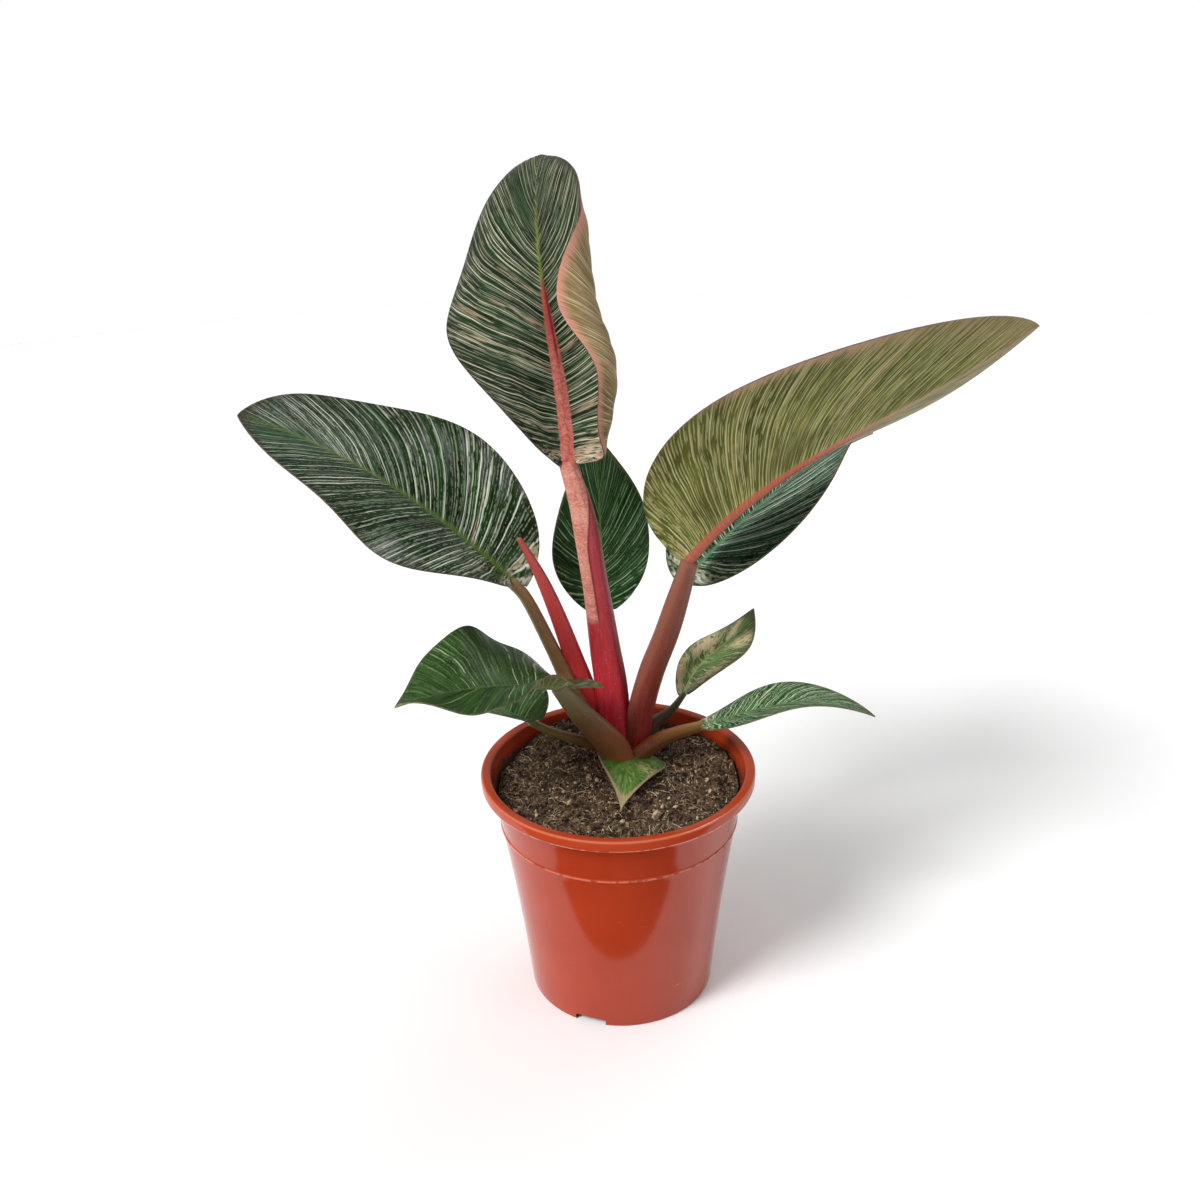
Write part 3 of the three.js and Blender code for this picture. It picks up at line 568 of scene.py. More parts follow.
bladeLooks = {
    "tall": {
        "upper": {
            "deep": (22, 36, 18), "green": (32, 56, 31), "light": (54, 80, 50), "dark": (36, 34, 20),
            "line": (140, 144, 118), "pin": (212, 206, 180), "cream": (200, 186, 152),
            "blush": (200, 160, 136), "margin": (52, 44, 36), "marginShare": 0.6, "rough": 0.34,
            "rib": (196, 98, 88), "ribLight": (218, 134, 120), "ribUpper": (158, 60, 54), "ribHalf": 3.3,
            "ribTip": 76, "groove": (160, 26, 44), "grooveAside": 0.9, "grooveFrom": (36, 48),
            "thread": 1.3, "threadColour": (132, 144, 62), "beads": 4.5, "brush": 5, "fineCount": 150,
            "fineWidth": 0.22, "fineShare": 0.75, "brightCount": 62, "brightWidth": 0.1, "sway": 0.015,
            "patchFrom": 0.78,
        },
        "under": {
            "deep": (136, 116, 74), "green": (158, 136, 94), "light": (186, 160, 120),
            "dark": (132, 112, 70), "line": (104, 84, 46), "pin": (220, 200, 164),
            "cream": (212, 184, 152), "blush": (210, 156, 138), "margin": (208, 142, 126),
            "marginWidth": 4.4, "marginRagged": 5, "marginShare": 0.75,
            "rib": (200, 120, 108), "ribHalf": 3, "rough": 0.5, "seed": 5.1, "beads": 7, "fineCount": 230,
            "fineWidth": 0.34, "fineShare": 0.7, "brightCount": 120, "patchFrom": 0.62, "edgeDark": 0.1,
        },
        "rim": (112, 78, 68),
        "patches": [(0.02, 0.02, -1, -0.1, 0.8), (0.085, 0.008, -0.9, -0.05, 0.8),
                    (0.16, 0.006, -0.6, 0, 0.5), (0.245, 0.008, -0.85, -0.05, 0.8),
                    (0.3, 0.006, -0.9, -0.4, 0.7), (0.36, 0.01, -0.5, -0.04, 0.9),
                    (0.45, 0.01, -0.5, -0.03, 0.8), (0.02, 0.05, 0.1, 1, 0.9), (0.13, 0.012, 0.1, 1, 0.8),
                    (0.3, 0.02, 0.06, 0.6, 0.6), (0.85, 0.2, -1, 0, -0.35), (0.8, 0.22, 0.05, 1, -0.5),
                    (0.66, 0.07, -0.9, -0.12, -0.9), (0.06, 0.012, -1, 0, -0.5)],
    },
    "right": {
        "upper": {
            "deep": (28, 58, 30), "green": (46, 88, 44), "light": (72, 118, 62), "line": (136, 160, 114),
            "pin": (205, 210, 180), "cream": (200, 195, 150), "blush": (190, 170, 130),
            "margin": (120, 84, 76), "rib": (150, 84, 66), "ribEnd": (120, 130, 80), "ribFade": (30, 110),
            "ribHalf": 1.8, "rough": 0.34, "seed": 1.3,
        },
        "under": {
            "deep": (68, 72, 24), "green": (90, 96, 36), "light": (120, 120, 56), "dark": (88, 82, 38),
            "line": (168, 162, 108), "pin": (196, 192, 142), "cream": (168, 140, 104),
            "blush": (164, 122, 92), "calmShade": (70, 68, 28), "margin": (184, 146, 118),
            "marginWidth": 4, "marginRagged": 6, "marginShare": 0.7, "marginFrom": (45, 80),
            "rib": (158, 78, 64), "ribEnd": (158, 132, 110), "ribFade": (60, 120), "ribHalf": 2.2,
            "ribSoft": 0.4, "rough": 0.5, "seed": 7.7, "sway": 0.008, "broadCount": 14, "beads": 6,
            "fineCount": 190, "fineWidth": 0.34, "fineShare": 0.75, "brightCount": 100, "brightWidth": 0.2,
            "brightShare": 0.7, "rare": 0, "edgeDark": 0.3, "patchFrom": 0.66,
        },
        "rim": (112, 92, 98),
        "patches": [(0.06, 0.02, -1, 0, 0.8), (0.2, 0.005, 0, 0.6, 1), (0.01, 0.01, 0, 0.4, 1),
                    (0.05, 0.006, 0, 0.25, 0.8), (0.45, 0.012, 0.1, 1, 0.6), (0.62, 0.012, 0.3, 1, 0.6),
                    (0.32, 0.1, 0.02, 0.35, -0.7), (0.12, 0.04, 0.02, 0.4, -0.7),
                    (0.7, 0.12, 0, 0.5, -0.3)],
    },
    "left": {
        "upper": {
            "deep": (8, 26, 6), "green": (22, 54, 18), "light": (48, 84, 42), "dark": (18, 30, 10),
            "line": (136, 156, 120), "pin": (228, 234, 216), "cream": (206, 204, 170),
            "blush": (196, 176, 146), "calmShade": (26, 68, 28), "margin": (58, 46, 34), "marginShare": 0.5,
            "tip": (70, 56, 48), "tipFrom": 0.97, "rib": (82, 108, 42), "ribHalf": 2.4, "ribSoft": 1.2,
            "rough": 0.22, "relief": 1, "seed": 2.2, "beads": 18, "fineWidth": 0.22, "fineShare": 0.6,
            "brightCount": 40, "brightWidth": 0.1, "rare": 0.2, "secondShare": 0.6, "patchFrom": 0.76,
        },
        "under": {
            "deep": (84, 104, 60), "green": (104, 122, 72), "light": (122, 138, 84),
            "line": (140, 152, 104), "pin": (170, 176, 130), "cream": (176, 176, 126),
            "blush": (166, 146, 112), "margin": (140, 110, 90), "rib": (120, 110, 60), "ribHalf": 2,
            "rough": 0.5, "seed": 8.2, "beads": 6, "fineShare": 0.45,
        },
        "rim": (96, 78, 66),
        "patches": [(0.02, 0.016, -1, 1, 0.8), (0.09, 0.01, -1, -0.1, 0.6), (0.175, 0.006, 0, 0.75, 0.9),
                    (0.78, 0.09, -0.9, 0.35, -1), (0.42, 0.03, 0.3, 1, -0.5), (0.3, 0.02, 0.4, 1, -0.5)],
    },
}


# The smaller leaves change only some of these
def greenLook(seed, ribHalf, **changes):
    base = {
        "deep": (24, 54, 24), "green": (36, 80, 38), "light": (58, 108, 54), "dark": (24, 48, 22),
        "line": (116, 150, 98), "pin": (206, 218, 186), "cream": (200, 202, 160), "blush": (190, 176, 138),
        "rib": (92, 130, 66), "ribHalf": ribHalf, "margin": (96, 96, 64), "marginWidth": 0.7,
        "rough": 0.34, "seed": seed,
    }
    return {**base, **changes}


def underLook(seed, ribHalf, **changes):
    base = {
        "deep": (84, 108, 62), "green": (104, 126, 74), "light": (122, 142, 86), "line": (142, 156, 106),
        "pin": (172, 180, 134), "cream": (178, 178, 130), "blush": (168, 150, 116),
        "rib": (120, 118, 70), "ribHalf": ribHalf, "margin": (140, 116, 90), "rough": 0.5, "seed": seed,
        "beads": 6, "fineShare": 0.4, "edgeDark": 0.1,
    }
    return {**base, **changes}


bladeLooks["backRight"] = {
    "upper": greenLook(3.1, 1.5, deep=(14, 38, 18), green=(28, 66, 36), light=(50, 98, 58),
                       line=(120, 146, 118), pin=(206, 218, 202), rib=(98, 130, 98), brightCount=46,
                       brightWidth=0.13, fineWidth=0.24, fineShare=0.7, rare=0, ribSoft=0.9, beads=24,
                       shine=0.05, tip=(66, 38, 34), tipFrom=0.9),
    "under": underLook(9.1, 1.5), "rim": (84, 66, 52), "patches": [(0.02, 0.02, -1, 1, 0.8)],
}
bladeLooks["back"] = {
    "upper": greenLook(4.4, 1, deep=(14, 44, 10), green=(28, 66, 24), light=(52, 92, 44),
                       line=(88, 122, 76), pin=(156, 188, 140), rib=(92, 130, 74), brightCount=34,
                       fineShare=0.5, fineCount=90, patchFrom=0.85, rare=0, shine=0.15),
    "under": underLook(9.9, 1.2), "rim": (50, 76, 40), "patches": [],
}
bladeLooks["lowLeft"] = {
    "upper": greenLook(5.2, 1, deep=(30, 52, 16), green=(46, 74, 30), light=(70, 100, 54),
                       dark=(34, 62, 22), line=(100, 128, 84), pin=(168, 190, 140), rib=(92, 112, 70),
                       brightCount=20, brightWidth=0.08, fineCount=90, fineShare=0.4, secondShare=0.25,
                       rare=0.4, sway=0.03, margin=(74, 78, 50), ribShare=0.5, ribSoft=0.6, patchFrom=0.85),
    "under": underLook(10.3, 1.5, deep=(84, 88, 52), green=(98, 102, 66), light=(112, 114, 78)),
    "rim": (104, 102, 68), "patches": [(0.45, 0.4, -1, -0.04, -0.8)],
}
bladeLooks["lowRight"] = {
    "upper": greenLook(6.3, 1, deep=(17, 56, 18), green=(40, 88, 36), light=(80, 124, 72),
                       line=(158, 180, 142), pin=(214, 222, 194), rib=(96, 126, 72), brightCount=36,
                       brightWidth=0.13, fineCount=84, sway=0.05, shine=0.1, beads=20, patchFrom=0.78,
                       tip=(84, 80, 78), tipFrom=0.94),
    "under": underLook(11.3, 1.1), "rim": (96, 112, 76), "patches": [(0.03, 0.03, -1, 1, 0.6)],
}
bladeLooks["smallRight"] = {
    "upper": greenLook(7.3, 0.7, deep=(54, 90, 32), green=(92, 124, 58), light=(146, 164, 104),
                       line=(186, 186, 138), pin=(222, 220, 178), cream=(222, 206, 160),
                       blush=(222, 184, 156), calmShade=(70, 116, 52), rib=(160, 160, 108),
                       broadCount=7, middleCount=26, fineCount=60, fineShare=0.4, brightCount=20,
                       brightShare=0.5, secondShare=0.3, sway=0.06, patchFrom=0.62, patchFill=0.26),
    "under": underLook(12.3, 0.8), "rim": (140, 110, 86),
    "patches": [(0.06, 0.16, -1, -0.35, 1), (0.36, 0.16, -1, -0.3, 1), (0.66, 0.1, -1, -0.1, 1),
                (0.42, 0.05, -0.4, 0.1, 0.8), (0.5, 0.09, 0.35, 1, 1), (0.16, 0.12, 0.3, 1, 0.7),
                (0.8, 0.07, 0, 1, -0.9), (0.3, 0.12, 0.05, 0.5, -0.6)],
}
bladeLooks["lowBack"] = {
    "upper": greenLook(8.4, 0.8, deep=(46, 74, 36), green=(70, 100, 52), light=(96, 126, 78),
                       pin=(200, 210, 186), broadCount=10, middleCount=40, fineCount=50, brightCount=20,
                       rare=0),
    "under": underLook(13.3, 0.9), "rim": (120, 120, 90), "patches": [(0.3, 0.9, 0.05, 1, -1)],
}
bladeLooks["scale"] = {
    "upper": greenLook(9.6, 0.7, deep=(72, 108, 38), green=(98, 140, 54), light=(150, 172, 108),
                       cream=(176, 180, 128), blush=(176, 160, 110), rib=(108, 140, 62),
                       margin=(196, 162, 132), marginShare=0.6, broadCount=6, middleCount=20, fineCount=40,
                       fineShare=0.15, brightCount=14, brightShare=0.2, secondShare=0.1, rare=0.6,
                       sway=0.08, shine=0.4, rough=0.3),
    "under": underLook(14.3, 0.8), "rim": (180, 150, 122), "patches": [(0.25, 0.1, -1, -0.45, 1)],
}


# A piece's node in the model: lowLeft stands for blade_low_left and stalk_low_left
def nodeFor(kind, name):
    words = "".join("_" + letter.lower() if letter.isupper() else letter for letter in name)
    return {"scale": "scale_leaf", "newLeaf": "new_leaf_sheath"}.get(name, kind + "_" + words)


for name, look in bladeLooks.items():
    length = leaves[name]["length"]
    finishes = [bladeFinish(name + "Upper", length, look["upper"]),
                bladeFinish(name + "Under", length, look["under"]), rimFinish(name + "Rim", look["rim"])]
    makeBlade(name + "Blade", leaves[name], nodeFor("blade", name), finishes, look["patches"])
print("blades made", len(bladeLooks))


# Stalks: a grid wrapped round a smooth path, with a shallow channel on one side
stalks = {
    "tall": {
        "path": [[-1.5, 24, 104], [-2.2, 22.4, 136], [-4.5, 20.8, 156], [-8.2, 17.5, 190], [-13, 15.5, 224],
                 [-17.8, 14.3, 243]],
        "radius": [8.2, 7.4, 6.5, 5.5, 5.2, 3.6], "face": [0, -1, 0.1], "grid": [44, 150],
        "slot": "stalk_crimson",
    },
    "right": {
        "path": [[8, 24, 104], [11, 20, 126], [15.6, 13.3, 148], [22, 6, 170], [30.7, -3.3, 205.5]],
        "radius": [6.2, 5.8, 5.5, 5, 3.6], "face": [-0.3, 1, 0.3], "grid": [36, 110],
        "slot": "stalk_red_brown",
    },
    "left": {
        "path": [[-3, 20, 106], [-14.4, 18.5, 126], [-27, 14.5, 160], [-38, 11, 187], [-42.8, 9.6, 193.4]],
        "radius": [4.8, 4.2, 3.5, 3.1, 2.7], "face": [0.6, 0.2, 0.8], "grid": [32, 100],
        "slot": "stalk_olive_brown",
    },
    "lowLeft": {
        "path": [[1.5, 14, 102], [-1.6, 11.3, 112], [-8, 4, 124.6], [-15.5, -5, 138.6], [-24, -13, 154.8]],
        "radius": [7, 6.7, 5.9, 5, 3.4], "face": [0.3, 0.3, 1], "grid": [32, 80],
        "slot": "stalk_olive_brown",
    },
    "lowRight": {
        "path": [[7, 16, 103.5], [17, 15.5, 111], [26, 13, 117], [37.4, 7.7, 123.6]],
        "radius": [5, 3.9, 3.1, 2.3], "face": [0, 0, 1], "grid": [28, 60],
        "slot": "stalk_olive_brown",
    },
    "smallRight": {
        "path": [[10, 28, 104], [18, 31, 113], [25, 32.3, 118], [31.2, 33.5, 125.8]],
        "radius": [4.2, 3.4, 2.1, 1.3], "face": [-0.5, 0, 1], "grid": [24, 50],
        "slot": "stalk_olive_brown",
    },
    "backRight": {
        "path": [[8, 30, 104], [14, 29.5, 126], [22, 28.5, 156], [29, 27.3, 178], [33.1, 26.1, 186.9]],
        "radius": [4.2, 3.6, 3.1, 2.8, 2.2], "face": [-0.4, -0.2, 1], "grid": [28, 80],
        "slot": "stalk_red_brown",
    },
    "back": {
        "path": [[-4, 32, 104], [-4.6, 35.5, 127], [-4.2, 38.5, 147], [-2, 40.8, 164.3]],
        "radius": [3.8, 3.2, 2.7, 2], "face": [0, -1, 0.2], "grid": [24, 60],
        "slot": "stalk_red_brown",
    },
    "lowBack": {
        "path": [[-3, 22, 103], [-11, 18, 110], [-20, 14, 115.5], [-30, 11, 121], [-37.6, 8.2, 127]],
        "radius": [3.4, 2.8, 2.4, 2.1, 1.8], "face": [0, 0, 1], "grid": [24, 60],
        "slot": "stalk_olive_brown",
    },
    "newLeaf": {
        "path": [[-6, 25, 106], [-13, 22.5, 134], [-17.6, 18, 151], [-24.2, 10.5, 177], [-31, 4.5, 199],
                 [-38.3, 1, 216]],
        "radius": [5, 4.6, 4.2, 3.5, 2.6, 1.1], "face": [0.2, -1, 0.1], "grid": [32, 110],
        "slot": "stalk_crimson",
    },
}
stalkForm = {"channelDepth": 0.22, "channelNarrowness": 6, "capRows": 6, "capLength": 0.5,
             "knobble": 0.12, "samples": 60, "ahead": 0.4}


# Points and directions at shares of the length of a smooth curve through a path
def followPath(path, shares):
    path = np.asarray(path, float)
    ext = np.concatenate([[2 * path[0] - path[1]], path, [2 * path[-1] - path[-2]]])
    pieces = []
    for p0, p1, p2, p3 in zip(ext, ext[1:], ext[2:], ext[3:]):
        d0, d1, d2 = [max(np.linalg.norm(b - a) ** 0.5, 1e-4) for a, b in ((p0, p1), (p1, p2), (p2, p3))]
        t1 = ((p1 - p0) / d0 - (p2 - p0) / (d0 + d1) + (p2 - p1) / d1) * d1
        t2 = ((p2 - p1) / d1 - (p3 - p1) / (d1 + d2) + (p3 - p2) / d2) * d1
        s = np.linspace(0, 1, stalkForm["samples"], endpoint=False)[:, None]
        pieces.append(p1 + t1 * s + (3 * (p2 - p1) - 2 * t1 - t2) * s ** 2
                      + (2 * (p1 - p2) + t1 + t2) * s ** 3)
    curve = np.concatenate(pieces + [path[-1:]])
    far = np.concatenate([[0], np.cumsum(np.linalg.norm(np.diff(curve, axis=0), axis=1))])
    want = shares * far[-1]
    points = np.stack([np.interp(want, far, line) for line in curve.T], -1)
    before, after = want - stalkForm["ahead"], want + stalkForm["ahead"]
    forward = np.stack([np.interp(after, far, line) - np.interp(before, far, line) for line in curve.T], -1)
    return points, forward / np.linalg.norm(forward, axis=-1, keepdims=True)


def makeStalk(name, stalk, node, finish):
    around, rings = stalk["grid"]
    bpy.ops.mesh.primitive_grid_add(x_subdivisions=around, y_subdivisions=rings, size=2)
    mesh = bpy.context.object.data
    flat = vertexPlaces(mesh)
    turn = (flat[:, 0] + 1) / 2
    row = np.round((flat[:, 1] + 1) / 2 * rings)
    cap = stalkForm["capRows"]
    share = np.clip((row - cap) / (rings - 2 * cap), 0, 1)
    lowCap = np.clip((cap - row) / cap, 0, 1)
    highCap = np.clip((row - (rings - cap)) / cap, 0, 1)
    closing = np.cos(np.pi / 2 * np.maximum(lowCap, highCap))
    radius = smoothAlong(stalk["radius"], share)
    points, forward = followPath(stalk["path"], share)
    rounding = np.sin(np.pi / 2 * highCap) - np.sin(np.pi / 2 * lowCap)
    points = points + forward * (stalkForm["capLength"] * radius * rounding)[:, None]
    face = np.asarray(stalk["face"], float)
    right = np.cross(forward, face)
    right = right / np.linalg.norm(right, axis=-1, keepdims=True)
    up = np.cross(right, forward)
    angle = 2 * np.pi * turn
    channel = stalkForm["channelDepth"] * np.maximum(0, np.sin(angle)) ** stalkForm["channelNarrowness"]
    lengthways = np.sin(angle * 5 + 1.3) + np.sin(angle * 9 + 4 * share)
    reach = (radius * (1 - channel) + stalkForm["knobble"] * lengthways * radius / 6) * closing
    places = points + right * (reach * np.cos(angle))[:, None] + up * (reach * np.sin(angle))[:, None]
    setUv(mesh, "stalk", turn, share)
    moveVertices(mesh, places * mm)
    addPiece(name, stalk["slot"], [finish], node)
    mergeClose(0.01 * mm, outward=True)
    smoothAndLeave(60)


# What a stalk's finish is unless its look says otherwise
plainStalk = {"specks": 0.5, "paintedLightShare": 0.6}


# The rough pink strip that widens up the tall leaf's stalk, and a dark line beside it in the channel, which
# is painted shade
def paintStrip(finish, look, around, along, thread, body):
    place = finish.place()
    x, y, z = finish.split(place)
    sway = (thread - 0.5) * 0.02
    opened = around + sway + finish.span(along, 0.7, 0.97) * 0.24
    strip = finish.span(opened, 0.272, 0.29) * (1 - finish.span(around + sway, 0.53, 0.57))
    strip = strip * finish.span(along + sway, 0.475, 0.5)
    cross = finish.noise(finish.point(x * 120, y * 120, z * 700), 1, 3)
    grain = finish.noise(place, 1100, 3, 0.6)
    pale = finish.span(grain * 0.6 + cross * 0.4, 0.38, 0.62)
    body = finish.mix(strip, body, finish.mix(pale, look["strip"], look["stripLight"]))
    # Painted shade: the dark line follows the bottom of the stalk's channel, beside the strip
    grooveShade = (1 - finish.span(abs(opened - 0.262), 0.004, 0.018)) * finish.span(along, 0.46, 0.56)
    return finish.mix(grooveShade * 0.7, body, look["shade"]), strip, strip * ((grain + cross) * 0.9 + 0.8)


# Tones go from foot to top; streaks run lengthways
def stalkFinish(name, changes):
    look = {**plainStalk, **changes}
    finish = Finish(name)
    around, along = finish.split(finish.node("UVMap", {"uv_map": "stalk"}))[:2]
    turn = around * (2 * math.pi)
    rightward = turn.cosine()
    ring = finish.point(rightward, turn.sine(), along * 3)
    streak = finish.noise(ring, 7, 3)
    thread = finish.noise(ring, 22, 2)
    speck = finish.noise(finish.place(), 1500, 2)
    stops = [(i / (len(look["tones"]) - 1), tone) for i, tone in enumerate(look["tones"])]
    tone = finish.node("ValToRGB", {"stops": stops}, {0: along + (streak - 0.5) * 0.12})
    body = finish.mix(finish.span(streak, 0.4, 0.65) * 0.55, tone, look["streak"])
    body = finish.mix(finish.span(thread, 0.55, 0.7) * 0.35, body, look["shade"])
    # Painted shade: one side of the stalk, chosen only by the angle round it, is mixed toward the shade
    # colour; on the right stalk this side faces the light and its pale shade colour is painted light
    body = finish.mix(finish.span(rightward, 0.55, 1) * look["paintedLightShare"], body, look["shade"])
    body = finish.mix(finish.span(speck, 0.68, 0.76) * look["specks"], body, look["speck"])
    height = thread * 0.6 + speck * 0.3
    rough = finish.span(streak, 0.3, 0.7, 0.36, 0.48)
    if "strip" in look:
        body, strip, ridges = paintStrip(finish, look, around, along, thread, body)
        height = height + ridges
        rough = rough + strip * 0.12
    finish.set(Base_Color=body, Roughness=rough, Normal=finish.bump(height, 0.3 * mm, 0.6))
    return finish


# A look's shade colours its threads, and as painted shade one side of the stalk; the right stalk's pale
# shade is painted light on its lit side
stalkLooks = {
    "tall": {"tones": [(206, 26, 44), (200, 38, 52), (176, 50, 56), (160, 50, 54), (206, 116, 100)],
             "streak": (198, 64, 76), "shade": (110, 20, 42), "speck": (236, 190, 180),
             "strip": (196, 112, 96), "stripLight": (230, 160, 142), "specks": 0.7},
    "newLeaf": {"tones": [(214, 32, 46), (216, 50, 56), (200, 58, 60), (176, 78, 70)],
                "streak": (204, 76, 72), "shade": (120, 26, 34), "speck": (220, 150, 130)},
    "right": {"tones": [(162, 20, 34), (130, 42, 35), (122, 60, 46), (134, 78, 60)],
              "streak": (118, 68, 53), "shade": (146, 96, 80), "speck": (206, 170, 150),
              "paintedLightShare": 0.5},
    "left": {"tones": [(140, 60, 38), (130, 84, 50), (136, 98, 62), (140, 112, 70)],
             "streak": (156, 120, 82), "shade": (88, 62, 38), "speck": (180, 160, 120)},
    "lowLeft": {"tones": [(166, 84, 52), (136, 74, 44), (92, 70, 40), (112, 108, 70)],
                "streak": (118, 90, 54), "shade": (66, 46, 26), "speck": (190, 160, 120)},
    "lowRight": {"tones": [(136, 60, 34), (126, 62, 36), (124, 82, 42), (128, 108, 52)],
                 "streak": (150, 104, 54), "shade": (72, 36, 18), "speck": (200, 170, 120)},
    "smallRight": {"tones": [(128, 84, 56), (104, 76, 52), (70, 62, 44), (84, 90, 56)],
                   "streak": (130, 104, 76), "shade": (44, 40, 32), "speck": (180, 150, 110)},
    "backRight": {"tones": [(112, 40, 34), (120, 60, 44), (124, 74, 50)],
                  "streak": (150, 96, 70), "shade": (72, 34, 30), "speck": (190, 150, 120)},
    "back": {"tones": [(112, 40, 34), (116, 64, 44), (104, 84, 50)],
             "streak": (140, 96, 66), "shade": (72, 36, 30), "speck": (190, 150, 120)},
    "lowBack": {"tones": [(104, 56, 26), (124, 88, 40), (120, 104, 50), (84, 92, 46)],
                "streak": (140, 110, 58), "shade": (74, 54, 22), "speck": (200, 180, 130)},
}
for name, look in stalkLooks.items():
    makeStalk(name + "Stalk", stalks[name], nodeFor("stalk", name), stalkFinish(name + "StalkSkin", look))
print("stalks made", len(stalkLooks))


# Pot: a turned outline of [radius, height, softness of the corner]
pot = {"baseRadius": 41.5, "slope": 0.09, "flare": 0.00042, "wall": 1.4, "height": 109, "lipFoot": 104,
       "rim": 60, "mouth": 55.7, "line": 84.5, "floor": 4, "foot": 12, "footRing": 1.8, "steps": 144,
       "lowRings": [5, 15, 25, 35, 45, 55, 65, 75, 81], "highRings": [91, 98],
       "notch": {"depth": 12, "width": 14, "height": 3.5, "corner": 1, "count": 3, "turn": 9},
       "drain": {"radius": 4, "depth": 10, "ring": 25, "count": 8}}


def outerRadius(z):
    return pot["baseRadius"] + pot["slope"] * z + pot["flare"] * z * z


def softCorners(outline, segments=4):
    points = []
    for i, (radius, height, soft) in enumerate(outline):
        corner = np.array([radius, height], float)
        if soft and 0 < i < len(outline) - 1:
            before = np.array(outline[i - 1][:2], float) - corner
            after = np.array(outline[i + 1][:2], float) - corner
            start = corner + before / np.linalg.norm(before) * soft
            end = corner + after / np.linalg.norm(after) * soft
            for s in np.linspace(0, 1, segments + 1):
                points.append((1 - s) ** 2 * start + 2 * s * (1 - s) * corner + s * s * end)
        else:
            points.append(corner)
    return points


def spinOutline(points, steps):
    bpy.ops.mesh.primitive_plane_add(size=1)
    bpy.ops.object.mode_set(mode="EDIT")
    bpy.ops.mesh.merge(type="CENTER")
    bpy.ops.transform.translate(value=(points[0][0] * mm, 0, points[0][1] * mm))
    for before, after in zip(points, points[1:]):
        step = ((after[0] - before[0]) * mm, 0, (after[1] - before[1]) * mm)
        bpy.ops.mesh.extrude_region_move(TRANSFORM_OT_translate={"value": step})
    bpy.ops.mesh.select_all(action="SELECT")
    bpy.ops.mesh.spin(steps=steps, angle=2 * math.pi, center=(0, 0, 0), axis=(0, 0, 1))
    mergeClose(0.005 * mm, outward=True)
    return bpy.context.object


def onCircle(radius, turn, z=0):
    return [radius * mm * math.cos(turn), radius * mm * math.sin(turn), z * mm]


def cutWith(piece, cutter):
    bpy.context.view_layer.objects.active = piece
    applyModifier(piece, "BOOLEAN", object=cutter, operation="DIFFERENCE", solver="EXACT")
    bpy.data.objects.remove(cutter)


def makePot(finish):
    line, floor, wall, foot = pot["line"], pot["floor"], pot["wall"], pot["foot"]
    lip, rim, top, notch, drain = pot["lipFoot"], pot["rim"], pot["height"], pot["notch"], pot["drain"]
    ring = pot["baseRadius"] - pot["footRing"]
    outline = [[0, 0, 0], [foot, 0, 0.4], [foot + 1.5, floor - wall, 0.5], [ring - wall, floor - wall, 0.5],
               [ring, 0, 0.3], [pot["baseRadius"], 0, 0.9]]
    outline += [[outerRadius(z), z, 0] for z in pot["lowRings"]]
    outline += [[outerRadius(line - 0.7), line - 0.7, 0.3], [outerRadius(line) + 0.5, line - 0.3, 0.2],
                [outerRadius(line) + 0.5, line + 0.3, 0.2], [outerRadius(line + 0.7), line + 0.7, 0.3]]
    outline += [[outerRadius(z), z, 0] for z in pot["highRings"]]
    outline += [[outerRadius(lip) + 0.1, lip, 0.5], [rim - 0.4, lip - 0.1, 0.25], [rim, lip + 0.9, 0.4],
                [rim, top, 1.3], [pot["mouth"], top, 1.2], [outerRadius(line) - wall, line, 2]]
    outline += [[outerRadius(z) - wall, z, 0] for z in reversed(pot["lowRings"])]
    outline += [[outerRadius(floor) - wall, floor, 0.4], [0, floor, 0]]
    piece = spinOutline(softCorners(outline), pot["steps"])
    for i in range(notch["count"]):
        turn = math.radians(notch["turn"] + i * 360 / notch["count"])
        size = (notch["depth"] * mm, notch["width"] * mm, 2 * notch["height"] * mm)
        bpy.ops.mesh.primitive_cube_add(size=1, scale=size)
        cutter = bpy.context.object
        applyModifier(cutter, "BEVEL", width=notch["corner"] * mm, segments=3)
        cutter.location = onCircle(pot["baseRadius"], turn)
        cutter.rotation_euler = (0, 0, turn)
        cutWith(piece, cutter)
    for i in range(drain["count"]):
        bpy.ops.mesh.primitive_cylinder_add(
            vertices=32, radius=drain["radius"] * mm, depth=drain["depth"] * mm,
            location=onCircle(drain["ring"], 2 * math.pi * i / drain["count"], floor))
        cutWith(piece, bpy.context.object)
    bpy.ops.object.select_all(action="DESELECT")
    piece.select_set(True)
    bpy.context.view_layer.objects.active = piece
    addPiece("plasticPot", "pot_plastic", [finish], "pot")
    smoothAndLeave(32)


potColours = {"plain": (158, 50, 22), "warm": (166, 55, 26), "streak": (174, 62, 32), "lip": (178, 68, 36),
              "worn": (222, 128, 92), "scuff": (214, 140, 110), "dirt": (66, 46, 34)}
